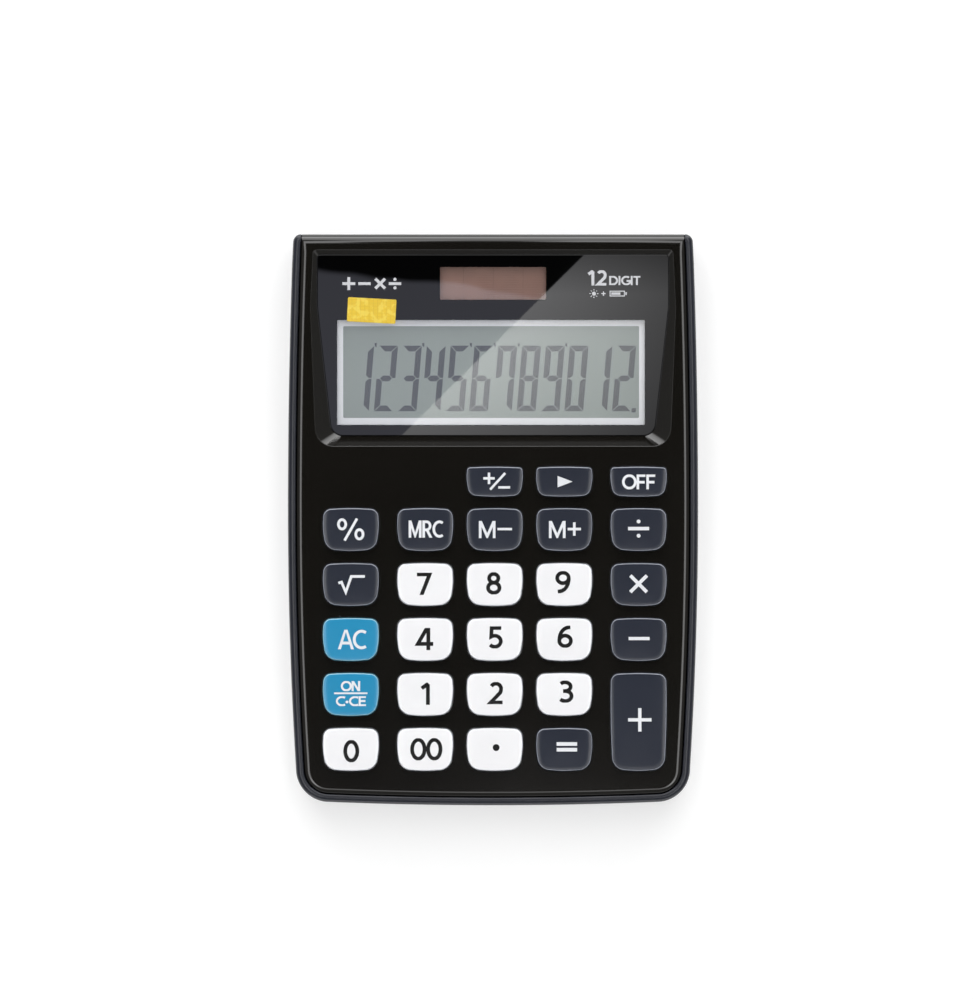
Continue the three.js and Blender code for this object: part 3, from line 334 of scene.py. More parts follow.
def rounding(radius, steps=5):
    """(inset, drop) pairs of a quarter round, from its side up to its top."""
    angles = [math.radians(90 * i / steps) for i in range(steps + 1)]
    return [(radius * (1 - math.cos(a)), radius * (1 - math.sin(a))) for a in angles]


def flared(outline_at, low, top, radius=EDGE_ROUNDING, matrix=BASE):
    """A cutter whose mouth at height top is rounded; outline_at gives its outline grown by an amount."""
    rings = [at(outline_at(0), low, matrix)]
    rings += [at(outline_at(inset), top - drop, matrix) for inset, drop in rounding(radius)]
    rings.append(at(outline_at(radius), top + BEYOND, matrix))
    return loft(rings)


def turned(profile, x, y, matrix=BASE, sides=48):
    """A body of revolution through (radius, height) points, from its underside up."""
    return loft([at(circle(radius, x, y, sides), height, matrix) for radius, height in profile])


def covers(polygon, point):
    """Whether a convex anticlockwise polygon holds a point."""
    sides = zip(polygon, polygon[1:] + polygon[:1])
    return all((b - a).cross(point - a) >= 0 for a, b in sides)


def union(polygons):
    """The area that any of the convex polygons covers, as points and triangles."""
    polygons = [[Vector(round(c * GRID) / GRID for c in p) for p in polygon] for polygon in polygons]
    polygons = [polygon for polygon in polygons if area(polygon) > 1 / GRID]
    points, faces = [], []
    for polygon in polygons:
        faces.append(list(range(len(points), len(points) + len(polygon))))
        points += polygon
    points, _, triangles, _, _, _ = delaunay_2d_cdt(points, [], faces, 0, 1e-5, False)
    kept = []
    for triangle in triangles:
        middle = sum((points[i] for i in triangle), Vector((0, 0))) / 3
        if any(covers(polygon, middle) for polygon in polygons):
            kept.append(triangle)
    return points, kept


def slab(polygons, low, high, matrix=BASE, body=None, slot=0):
    """A closed body over an area, between two heights that may be functions of (x, y)."""
    points, triangles = union(polygons)
    used = sorted({i for t in triangles for i in t})
    place = {old: new for new, old in enumerate(used)}
    triangles = [[place[i] for i in t] for t in triangles]
    outline = [tuple(points[i]) for i in used]
    count = len(used)
    edges = {(t[i - 1], t[i]) for t in triangles for i in range(3)}
    faces = [t[::-1] for t in triangles]
    faces += [[count + i for i in t] for t in triangles]
    faces += [[a, b, count + b, count + a] for a, b in edges if (b, a) not in edges]
    body = body or Body()
    return body.add(at(outline, low, matrix) + at(outline, high, matrix), faces, slot)


def carve(mesh, name, joins=(), cuts=(), trims=()):
    """A mesh joined with bodies, cut by others and trimmed to others, as a new mesh."""
    work = bpy.data.objects.new(name, mesh)
    bpy.context.scene.collection.objects.link(work)
    tools = []
    for operation, bodies in (("UNION", joins), ("DIFFERENCE", cuts), ("INTERSECT", trims)):
        for body in bodies:
            tool = bpy.data.objects.new("tool", body.mesh("tool"))
            bpy.context.scene.collection.objects.link(tool)
            tools.append(tool)
            modifier = work.modifiers.new("cut", "BOOLEAN")
            modifier.operation = operation
            modifier.solver = "MANIFOLD"
            modifier.object = tool
    evaluated = work.evaluated_get(bpy.context.evaluated_depsgraph_get())
    made = bpy.data.meshes.new_from_object(evaluated)
    for thing in [work, *tools]:
        old = thing.data
        bpy.data.objects.remove(thing)
        bpy.data.meshes.remove(old)
    made.name = name
    made.materials.clear()
    return made


def smooth(mesh, flat_normals=(), crease=40):
    """Shades a mesh smooth, with the faces that lie along the given normals left flat and crisp."""
    mesh.shade_smooth()
    mesh.set_sharp_from_angle(angle=math.radians(crease))
    for face in mesh.polygons:
        if any(abs(face.normal.dot(n)) > 0.99999 for n in flat_normals):
            face.use_smooth = False


def welded(mesh):
    """Merges a mesh's points that lie in one place, and drops those on no face."""
    work = bmesh.new()
    work.from_mesh(mesh)
    bmesh.ops.remove_doubles(work, verts=work.verts, dist=1e-7)
    loose = [v for v in work.verts if not v.link_faces]
    bmesh.ops.delete(work, geom=loose, context="VERTS")
    work.to_mesh(mesh)
    work.free()
    return mesh


FACE_UP = FACE.to_3x3() @ Vector((0, 0, 1))
LENS_UP = LENS.to_3x3() @ Vector((0, 0, 1))
UP = Vector((0, 0, 1))


FLATS = (FACE_UP, LENS_UP, UP)


def piece(name, mesh, materials, slot, replaces=(), body=BODY, flats=FLATS, crease=40):
    """Adds a finished mesh to the scene as a piece that rides on a body."""
    smooth(mesh, flats, crease)
    for material in materials if isinstance(materials, list) else [materials]:
        mesh.materials.append(material)
    thing = bpy.data.objects.new(name, mesh)
    bpy.context.scene.collection.objects.link(thing)
    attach(thing, body)
    if replaces:
        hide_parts(*replaces)
    return thing


# ---- Materials ----
class Net:
    """A node tree, with helpers that add and link its nodes."""

    def __init__(self, owner):
        owner.use_nodes = True
        self.tree = owner.node_tree

    def node(self, kind, **settings):
        made = self.tree.nodes.new(kind)
        for key, value in settings.items():
            setattr(made, key, value)
        return made

    def link(self, source, target):
        self.tree.links.new(source, target)

    def spread(self, value, low, high, start=0.3, end=0.7, **settings):
        """Moves a value's range from start and end to low and high."""
        made = self.node("ShaderNodeMapRange", **settings)
        for socket, number in zip(("From Min", "From Max", "To Min", "To Max"), (start, end, low, high)):
            made.inputs[socket].default_value = number
        self.link(value, made.inputs["Value"])
        return made.outputs["Result"]

    def step(self, value, start, end):
        """0 below start, 1 above end, and a soft step between; the other way when end is lower."""
        if start < end:
            return self.spread(value, 0, 1, start, end, interpolation_type="SMOOTHSTEP")
        return self.spread(value, 1, 0, end, start, interpolation_type="SMOOTHSTEP")

    def math(self, operation, *values):
        made = self.node("ShaderNodeMath", operation=operation)
        for socket, value in zip(made.inputs, values):
            if isinstance(value, (int, float)):
                socket.default_value = value
            else:
                self.link(value, socket)
        return made.outputs[0]

    def product(self, first, *others):
        for other in others:
            first = self.math("MULTIPLY", first, other)
        return first

    def total(self, first, *others):
        for other in others:
            first = self.math("ADD", first, other)
        return first


class Shader(Net):
    """A Principled material whose sockets are fed from procedural patterns."""

    def __init__(self, name, color, roughness, metallic=0.0, ior=1.5):
        self.material = bpy.data.materials.new(name)
        super().__init__(self.material)
        self.main = self.tree.nodes["Principled BSDF"]
        self.color = color
        self.roughness = roughness
        self.main.inputs["Base Color"].default_value = (*color, 1)
        self.main.inputs["Roughness"].default_value = roughness
        self.main.inputs["Metallic"].default_value = metallic
        self.main.inputs["IOR"].default_value = ior
        place = self.node("ShaderNodeTexCoord").outputs["Object"]
        scale = self.node("ShaderNodeVectorMath", operation="SCALE")
        scale.inputs["Scale"].default_value = 1 / MM
        self.link(place, scale.inputs[0])
        self.place = scale.outputs[0]  # in millimetres

    def noise(self, size, detail=3.0, stretch=(1, 1, 1)):
        """Noise whose features are about size millimetres across."""
        place = self.node("ShaderNodeVectorMath", operation="MULTIPLY")
        place.inputs[1].default_value = stretch
        self.link(self.place, place.inputs[0])
        made = self.node("ShaderNodeTexNoise")
        made.inputs["Scale"].default_value = 1 / size
        made.inputs["Detail"].default_value = detail
        self.link(place.outputs[0], made.inputs["Vector"])
        return made.outputs["Fac"]

    def slope(self, level, steep):
        """0 where the object's surface lies along the face, up to 1 where it is steep."""
        normal = self.node("ShaderNodeTexCoord").outputs["Normal"]
        lean = self.node("ShaderNodeVectorMath", operation="DOT_PRODUCT")
        lean.inputs[1].default_value = FACE_UP
        self.link(normal, lean.inputs[0])
        return self.spread(lean.outputs["Value"], 0, 1, level, steep)

    def tint(self, value, other):
        """Moves the base colour towards another one as value goes from 0 to 1."""
        target = self.main.inputs["Base Color"]
        mix = self.node("ShaderNodeMix", data_type="RGBA")
        if target.links:
            self.link(target.links[0].from_socket, mix.inputs["A"])
        else:
            mix.inputs["A"].default_value = (*self.color, 1)
        mix.inputs["B"].default_value = (*other, 1)
        self.link(value, mix.inputs["Factor"])
        self.link(mix.outputs["Result"], target)
        return self

    def mottle(self, size, amount):
        """Uneven colour and sheen, as a moulded or printed surface has."""
        lighter = tuple(min(1, c * (1 + amount)) for c in self.color)
        self.tint(self.spread(self.noise(size), 0, 1), lighter)
        low, high = (self.roughness * (1 + sign * min(amount, 0.2)) for sign in (-1, 1))
        value = self.spread(self.noise(size * 0.7), low, high, 0.2, 0.8)
        self.link(value, self.main.inputs["Roughness"])
        return self

    def bump(self, value, depth, strength=1.0):
        """Raises the surface by value times depth, in millimetres."""
        made = self.node("ShaderNodeBump")
        made.inputs["Strength"].default_value = strength
        made.inputs["Distance"].default_value = depth * MM
        self.link(value, made.inputs["Height"])
        target = self.main.inputs["Normal"]
        if target.links:
            self.link(target.links[0].from_socket, made.inputs["Normal"])
        self.link(made.outputs["Normal"], target)
        return self

    def specks(self, spacing, size, other):
        """Sparse dust specks, one in a random part of some cells."""
        cells = self.node("ShaderNodeTexVoronoi")
        cells.inputs["Scale"].default_value = 1 / spacing
        self.link(self.place, cells.inputs["Vector"])
        near = self.math("LESS_THAN", cells.outputs["Distance"], size / spacing)
        return self.tint(self.math("MULTIPLY", near, 0.35), other)

    def stripes(self, pitch, width, angle, other):
        """Thin parallel lines across the base frame's x and y."""
        split = self.node("ShaderNodeSeparateXYZ")
        self.link(self.place, split.inputs[0])
        across = self.math("MULTIPLY", split.outputs["X"], math.cos(math.radians(angle)) / pitch)
        along = self.math("MULTIPLY", split.outputs["Y"], math.sin(math.radians(angle)) / pitch)
        wave = self.math("FRACT", self.math("ADD", across, along))
        return self.tint(self.math("LESS_THAN", wave, width / pitch), other)


def linear(red, green, blue):
    """A display colour, 0 to 255, as linear light."""
    return tuple(
        c / 12.92 if c <= 0.04045 else ((c + 0.055) / 1.055) ** 2.4
        for c in (red / 255, green / 255, blue / 255)
    )


def moulded(name, color, roughness, grain=0.5, depth=0.003, mottle=0.08):
    """Moulded plastic: a fine grain, and a slow unevenness of colour and sheen."""
    made = Shader(name, color, roughness).mottle(14, mottle)
    made.bump(made.noise(grain, 2), depth)
    return made.material


def gloss_black():
    made = Shader("gloss_black", (0.0075, 0.0068, 0.0056), 0.08, ior=1.6)
    made.mottle(25, 0.15)
    made.bump(made.noise(9, 1), 0.006)
    made.specks(9, 0.16, (0.2, 0.2, 0.2))
    return made.material


def textured_slate():
    made = Shader("textured_slate", linear(32, 34, 42), 0.24)
    made.mottle(12, 0.12)
    made.bump(made.noise(0.45, 3), 0.012)
    made.bump(made.noise(7, 1), 0.01)
    return made.material


def key_plastic_painted_edges(name, color, edge, roughness=0.16):
    """Key plastic whose steep rounded edges are tinted to an edge colour: a painted highlight on the slate
    and blue keys and a painted grey shade on the white ones, standing in for the light that the edges
    catch.
    """
    made = Shader(name, color, roughness)
    made.mottle(9, 0.04)
    # Painted highlight: faces that turn steep are tinted towards the edge colour, in place of the light on
    # the rounded edges.
    made.tint(made.slope(0.99, 0.88), edge)
    made.bump(made.noise(0.35, 2), 0.0008)
    return made.material


def clear_window():
    """The lens where nothing is printed behind it: light goes through, and its surfaces shine."""
    material = bpy.data.materials.new("clear_window")
    net = Net(material)
    net.tree.nodes.clear()
    facing = net.node("ShaderNodeLayerWeight")
    facing.inputs["Blend"].default_value = 0.5
    shine = net.math("MULTIPLY_ADD", net.math("POWER", facing.outputs["Facing"], 5), 0.96, 0.04)
    clear = net.node("ShaderNodeBsdfTransparent")
    clear.inputs["Color"].default_value = (0.97, 0.975, 0.97, 1)
    gloss = net.node("ShaderNodeBsdfGlossy")
    gloss.inputs["Roughness"].default_value = LENS_ROUGHNESS
    gloss.inputs["Color"].default_value = (1, 1, 1, 1)
    mix = net.node("ShaderNodeMixShader")
    net.link(shine, mix.inputs["Fac"])
    net.link(clear.outputs[0], mix.inputs[1])
    net.link(gloss.outputs[0], mix.inputs[2])
    net.link(mix.outputs[0], net.node("ShaderNodeOutputMaterial").inputs["Surface"])
    return material


def display_film():
    made = Shader("display_film", linear(143, 152, 150), 0.32)
    made.mottle(20, 0.05)
    made.bump(made.noise(0.12, 2), 0.002)
    return made.material


def solar_film():
    made = Shader("solar_film", linear(150, 114, 104), 0.25)
    made.mottle(5, 0.12)
    made.stripes(6.25, 0.1, 0, linear(133, 101, 92))
    made.stripes(0.5, 0.12, 90, linear(158, 123, 112))
    return made.material


def hatched_sticker():
    made = Shader("hatched_sticker", linear(230, 194, 40), 0.35)
    made.mottle(2.5, 0.08)
    made.stripes(0.9, 0.12, 0, linear(222, 184, 38))
    made.stripes(0.7, 0.1, 90, linear(226, 188, 42))
    # Paler blotches: a painted sheen standing in for light on the sticker's wrinkles; the two hatch stripes
    # above are print.
    made.tint(made.spread(made.noise(1.6, 2), 0, 0.5, 0.5, 0.56), linear(248, 226, 96))
    return made.material


def rubber(name, color):
    made = Shader(name, color, 0.75)
    made.mottle(3, 0.15)
    made.bump(made.noise(0.3, 4), 0.02)
    return made.material


def metal(name, color, roughness, brushed=(1, 1, 1)):
    made = Shader(name, color, roughness, metallic=1.0)
    made.mottle(2, 0.1)
    made.bump(made.noise(0.25, 2, brushed), 0.004)
    return made.material


def board_green():
    made = Shader("board_green", linear(40, 92, 52), 0.35)
    made.mottle(6, 0.15)
    made.stripes(2.54, 0.5, 0, linear(52, 112, 62))
    made.bump(made.noise(1.2, 2), 0.01)
    return made.material


front_black = gloss_black()
rear_slate = textured_slate()
lens_black = Shader("lens_black", (0.0012, 0.0012, 0.0013), LENS_ROUGHNESS).mottle(30, 0.3).material
window_clear = clear_window()
# The second colour of each key is its painted edge highlight; on the white keys it is a greyer painted
# shade.
cap_white = key_plastic_painted_edges("cap_white", linear(245, 245, 247), linear(222, 225, 231))
cap_blue = key_plastic_painted_edges("cap_blue", linear(42, 142, 186), linear(150, 206, 226))
cap_slate = key_plastic_painted_edges("cap_slate", linear(41, 45, 56), linear(146, 151, 163))
ink_black = moulded("ink_black", (0.003, 0.003, 0.003), 0.2)
ink_white = moulded("ink_white", linear(228, 230, 234), 0.3)
ink_silver = moulded("ink_silver", linear(242, 242, 248), 0.35, mottle=0.02)
ink_pale = moulded("ink_pale", linear(205, 206, 210), 0.4)
display_grey = display_film()
segment_dark = moulded("segment_dark", linear(60, 65, 74), 0.3)
solar_brown = solar_film()
sticker_yellow = hatched_sticker()
foot_rubber = rubber("foot_rubber", linear(28, 28, 30))
mat_rubber = rubber("mat_rubber", linear(185, 188, 192))
screw_steel = metal("screw_steel", (0.42, 0.42, 0.43), 0.35)
cell_steel = metal("cell_steel", (0.62, 0.62, 0.63), 0.22, (1, 12, 1))
contact_steel = metal("contact_steel", (0.55, 0.52, 0.44), 0.3, (12, 1, 1))
label_silver = moulded("label_silver", linear(184, 186, 189), 0.4, 0.3, 0.004)
board_material = board_green()
epoxy_black = moulded("epoxy_black", (0.008, 0.008, 0.008), 0.3, 1.5, 0.03)
film_amber = moulded("film_amber", linear(176, 122, 44), 0.3)
wire_red = moulded("wire_red", linear(181, 42, 34), 0.4)
wire_black = moulded("wire_black", linear(26, 26, 26), 0.4)


# ---- Strokes and glyphs: capitals and digits one unit high, drawn by the middle of the pen ----
def line(*points):
    return [Vector(p) for p in points]


def oval(x, y, rx, ry, start=0, end=360):
    steps = max(3, round(abs(end - start) / 12))
    return [Vector(p) for p in arc(x, y, rx, start, end, steps, ry)]


def bend(*points):
    """A cubic curve through its first and last control points."""
    a, b, c, d = (Vector(p) for p in points)
    shares = [i / 12 for i in range(13)]
    return [
        a * (1 - t) ** 3 + b * 3 * t * (1 - t) ** 2 + c * 3 * t * t * (1 - t) + d * t ** 3
        for t in shares
    ]


LOW, HIGH = 0.075, 0.925  # the middle of the pen at the foot and the head of a glyph
GRID = 1024  # the steps in a millimetre that a drawing's points are rounded to
LONGEST_STEP = 0.5  # of a stroke's pieces, so that a legend follows a key's dome

SIX = [oval(0.335, 0.31, 0.25, 0.235), bend((0.085, 0.31), (0.085, 0.68), (0.26, HIGH), (0.56, HIGH))]

GLYPHS = {  # advance width, strokes
    "0": (0.68, [oval(0.34, 0.5, 0.265, 0.425)]),
    "1": (0.62, [line((0.40, -0.1), (0.40, 0.93)), line((0.13, 0.745), (0.42, 0.97))]),
    "2": (0.66, [
        oval(0.31, 0.69, 0.225, 0.235, 150, -20) + line((0.50, 0.52), (0.085, LOW), (0.60, LOW)),
    ]),
    "3": (0.66, [
        oval(0.28, 0.725, 0.235, 0.2, 140, -90) + line((0.2, 0.525)),
        line((0.2, 0.525)) + oval(0.29, 0.3, 0.265, 0.225, 90, -140),
    ]),
    "4": (0.72, [line((0.50, 1.1), (0.50, -0.1)), line((0.46, 1.02), (0.07, 0.28), (0.70, 0.28))]),
    "5": (0.66, [
        line((0.57, HIGH), (0.16, HIGH), (0.14, 0.53)) + oval(0.29, 0.325, 0.26, 0.25, 115, -140),
    ]),
    "6": (0.68, SIX),
    "7": (0.66, [line((0.04, HIGH), (0.60, HIGH), (0.21, -0.1))]),
    "8": (0.68, [oval(0.34, 0.73, 0.205, 0.195), oval(0.34, 0.3, 0.255, 0.225)]),
    "9": (0.68, [[Vector((0.67, 1)) - p for p in stroke] for stroke in SIX]),
    "A": (0.70, [
        line((-0.02, -0.1), (0.35, 1.06), (0.72, -0.1)),
        line((0.13, 0.32), (0.57, 0.32)),
    ]),
    "C": (0.70, [oval(0.46, 0.5, 0.38, 0.425, 55, 305)]),
    "D": (0.80, [
        line((0.085, LOW), (0.085, HIGH), (0.28, HIGH)) + oval(0.30, 0.5, 0.40, 0.425, 90, -90)
        + line((0.085, LOW)),
    ]),
    "E": (0.60, [
        line((0.54, HIGH), (0.085, HIGH), (0.085, LOW), (0.54, LOW)),
        line((0.085, 0.51), (0.5, 0.51)),
    ]),
    "F": (0.60, [
        line((0.55, HIGH), (0.085, HIGH), (0.085, -0.1)),
        line((0.085, 0.48), (0.5, 0.48)),
    ]),
    "G": (0.82, [oval(0.46, 0.5, 0.38, 0.425, 52, 335) + line((0.79, 0.46), (0.48, 0.46))]),
    "I": (0.26, [line((0.11, -0.1), (0.11, 1.1))]),
    "M": (0.92, [
        line((0.085, -0.1), (0.085, 1.1)),
        line((0.085, 1.02), (0.43, 0.10), (0.775, 1.02)),
        line((0.775, 1.1), (0.775, -0.1)),
    ]),
    "N": (0.78, [
        line((0.085, -0.1), (0.085, 1.1)),
        line((0.085, 1.02), (0.62, -0.02)),
        line((0.62, 1.1), (0.62, -0.1)),
    ]),
    "O": (0.88, [oval(0.44, 0.5, 0.37, 0.425)]),
    "R": (0.68, [
        line((0.085, -0.1), (0.085, HIGH), (0.26, HIGH)) + oval(0.28, 0.69, 0.235, 0.235, 90, -90)
        + line((0.085, 0.455)),
        line((0.30, 0.46), (0.60, -0.05)),
    ]),
    "T": (0.64, [line((0.0, HIGH), (0.62, HIGH)), line((0.31, HIGH), (0.31, -0.1))]),
    ".": (0.26, [oval(0.12, 0.42, 0.035, 0.035)]),
}


def hull(points):
    """The convex outline round a few points, anticlockwise."""
    outline = [points[i] for i in convex_hull_2d(points)]
    return outline if area(outline) > 0 else outline[::-1]


def ribbon(points, width):
    """A pen stroke along points, as convex pieces that are at most half a millimetre long."""
    points = [p for i, p in enumerate(points) if i == 0 or (p - points[i - 1]).length > 1e-4]
    closed = (points[0] - points[-1]).length < 1e-3
    if closed:
        points = points[:-1]
    count = len(points)
    sides = []
    for i, p in enumerate(points):
        before = points[i - 1] if i or closed else None
        after = points[(i + 1) % count] if i < count - 1 or closed else None
        a = (p - before).normalized() if before is not None else (after - p).normalized()
        b = (after - p).normalized() if after is not None else a
        along = (a + b).normalized() if (a + b).length > 1e-6 else a
        reach = width / 2 / max(along.dot(b), 0.4)
        out = Vector((-along.y, along.x)) * reach
        sides.append((p + out, p - out))
    pieces = []
    following = sides[1:] + sides[:1] if closed else sides[1:]
    for (left, right), (left_next, right_next) in zip(sides, following):
        steps = max(1, math.ceil((left_next - left + right_next - right).length / 2 / LONGEST_STEP))
        for i in range(steps):
            start, end = i / steps, (i + 1) / steps
            pieces.append(hull([
                right.lerp(right_next, start), right.lerp(right_next, end),
                left.lerp(left_next, end), left.lerp(left_next, start),
            ]))
    return pieces


def clip(polygon, low, high):
    """A polygon's part between two heights."""
    for sign, limit in ((1, low), (-1, -high)):
        kept = []
        for a, b in zip(polygon, polygon[1:] + polygon[:1]):
            above_a, above_b = sign * a.y - limit, sign * b.y - limit
            if above_a >= 0:
                kept.append(a)
            if above_a * above_b < 0:
                kept.append(a.lerp(b, above_a / (above_a - above_b)))
        polygon = kept
        if len(polygon) < 3:
            return None
    return polygon


def area(polygon):
    return sum(a.x * b.y - b.x * a.y for a, b in zip(polygon, polygon[1:] + polygon[:1])) / 2


def text(words, height, width, pen, x=0, y=0):
    """Words centred on (x, y), set to a total width, as polygons."""
    total = sum(GLYPHS[c][0] for c in words)
    across = width / total
    polygons = []
    left = x - width / 2
    for c in words:
        advance, strokes = GLYPHS[c]
        for stroke in strokes:
            placed = [Vector((left + p.x * across, y + (p.y - 0.5) * height)) for p in stroke]
            quads = [clip(quad, y - height / 2, y + height / 2) for quad in ribbon(placed, pen)]
            polygons += [quad for quad in quads if quad and abs(area(quad)) > 1e-5]
        left += advance * across
    return polygons


def bar(x, y, length, thickness, angle=0):
    half = Vector((length / 2, 0))
    half.rotate(Matrix.Rotation(math.radians(angle), 2))
    return ribbon([Vector((x, y)) - half, Vector((x, y)) + half], thickness)


def dot(x, y, radius):
    return [[Vector(p) for p in circle(radius, x, y, 24)]]


def drawn(points, pen):
    return ribbon([Vector(p) for p in points], pen)


def box_lines(left, low, right, high, pen):
    return drawn([(left, low), (right, low), (right, high), (left, high), (left, low)], pen)


def plus_sign(x, y, size, pen):
    return bar(x, y, size, pen) + bar(x, y, size, pen, 90)


def times_sign(x, y, size, pen):
    return bar(x, y, size, pen, 45) + bar(x, y, size, pen, -45)


def divide_sign(x, y, size, pen):
    reach, radius = size * 0.34, pen * 0.56
    return bar(x, y, size, pen) + dot(x, y + reach, radius) + dot(x, y - reach, radius)


# ---- Front case ----
def key_places():
    """Each key's middle, half size without its flange, top and bottom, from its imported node."""
    places = {}
    for node in sorted(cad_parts):
        if not node.startswith("key_") or node == "key_mat":
            continue
        low, high = extent(node, FACE)
        half = (high - low) / 2
        places[node] = {
            "middle": (low + high) / 2,
            "half": Vector((half.x - FLANGE_WIDTH, half.y - FLANGE_WIDTH)),
            "top": high.z,
            "bottom": low.z,
        }
    return places


KEYS = key_places()


def key_outline(key, grow, steps=8):
    half_x = key["half"].x + KEY_SPREAD + grow - KEY_BOW
    half_y = key["half"].y + grow - KEY_BOW
    u, v = key["middle"].x, key["middle"].y
    small = 2 * key["half"].y < SMALL_KEY_LIMIT
    rear_radius, front_radius = (max(r + grow, 0.2) for r in (SMALL_KEY_RADII if small else KEY_RADII))
    corners = [
        (u - half_x + KEY_TAPER, v - half_y, front_radius),
        (u + half_x - KEY_TAPER, v - half_y, front_radius),
        (u + half_x, v + half_y, rear_radius),
        (u - half_x, v + half_y, rear_radius),
    ]
    return rounded(corners, steps, KEY_BOW)


def screw_places(prefix):
    """Each screw's name, middle, highest and lowest point."""
    places = []
    for node in sorted(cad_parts):
        if node.startswith(prefix):
            low, high = extent(node, FACE)
            places.append((node, (low + high) / 2, high.z, low.z))
    return places


def seat_depth(v):
    return depth_at(v, UNDERSIDE) + SCREW_SEAT


def face_plate():
    """The face and its rear skirt, as a side profile trimmed to the outline inside the rims."""
    rings = [at(case_outline(RIM_WIDTH + SEAM, -BEYOND), -SKIRT_DEPTH - BEYOND, FACE)]
    width, height = PLATE_EDGE
    for inset, drop in rounding(1, 9):
        rings.append(at(case_outline(RIM_WIDTH + SEAM + inset * width, -BEYOND), -drop * height, FACE))
    start = REAR_EDGE - SKIRT_ROUNDING
    roll = arc(start, -SKIRT_ROUNDING, SKIRT_ROUNDING, 0, 90, 14)
    profile = [
        (-REAR_EDGE - BEYOND, -FACE_WALL),
        (REAR_EDGE - SKIRT_WALL, -FACE_WALL),
        (REAR_EDGE - SKIRT_WALL, -SKIRT_DEPTH),
        (REAR_EDGE, -SKIRT_DEPTH),
        *roll,
        (start, BEYOND),
        (-REAR_EDGE - BEYOND, BEYOND),
    ]
    whole_width = loft([[FACE @ Vector((u, v, w)) for v, w in profile] for u in (-CASE_WIDTH, CASE_WIDTH)])
    return carve(loft(rings).mesh("plate"), "plate", trims=[whole_width])


def recess_cutter():
    rings = [
        at(lens_outline(LENS_CLEARANCE), LENS_SEAT, LENS),
        at(lens_outline(LENS_CLEARANCE), -0.05, LENS),
    ]
    rings += [at(recess_outline(inset), -drop, FACE) for inset, drop in rounding(RECESS_ROUNDING)]
    rings.append(at(recess_outline(RECESS_ROUNDING), BEYOND, FACE))
    return loft(rings)


def lens_window_hole(width, height, x, y):
    return prism(rectangle(width, height, 0.5, x, y), TUB_BOTTOM - BEYOND, LENS_SEAT + BEYOND / 2, LENS)


def under_lens(node):
    """A node's width, height, middle, top and bottom in the lens frame."""
    low, high = extent(node, LENS)
    middle, size = (low + high) / 2, high - low
    return size.x, size.y, middle.x, middle.y, high.z, low.z


def make_front_case():
    tub = loft([
        at(lens_outline(TUB_WALL + LENS_CLEARANCE), TUB_BOTTOM, LENS),
        at(recess_outline(TUB_WALL), -FACE_WALL / 2, FACE),
    ])
    joins = [tub]
    cuts = [recess_cutter()]
    for _, (u, v, _), _, _ in screw_places("case_screw"):
        seat = seat_depth(v)
        top = TUB_BOTTOM if v > RECESS_FRONT else -FACE_WALL / 2
        joins.append(rod(BOSS_RADIUS, u, v, seat + REAR_BOSS_RISE + SEAM, top))
        cuts.append(rod(SCREW_RADIUS, u, v, seat, seat + SCREW_LENGTH, 20))
    board_top = extent("main_board", FACE)[1].z
    for _, (u, v, _), high, low in screw_places("board_screw"):
        joins.append(rod(POST_RADIUS, u, v, board_top + SEAM, -FACE_WALL / 2, 20))
        cuts.append(rod(POST_BORE, u, v, low, high + SEAM, 16))
    for node in ("lcd_panel", "solar_cell"):
        width, height, x, y, *_ = under_lens(node)
        cuts.append(lens_window_hole(width + 2 * GLASS_GAP, height + 2 * GLASS_GAP, x, y))
    for key in KEYS.values():
        cuts.append(flared(
            lambda grow, key=key: key_outline(key, KEY_CLEARANCE + grow),
            -FACE_WALL - BEYOND, 0, 0.12, FACE,
        ))
    return carve(face_plate(), "front_shell", joins, cuts)


piece("front_shell", make_front_case(), front_black, "front_case", ["front_case"])


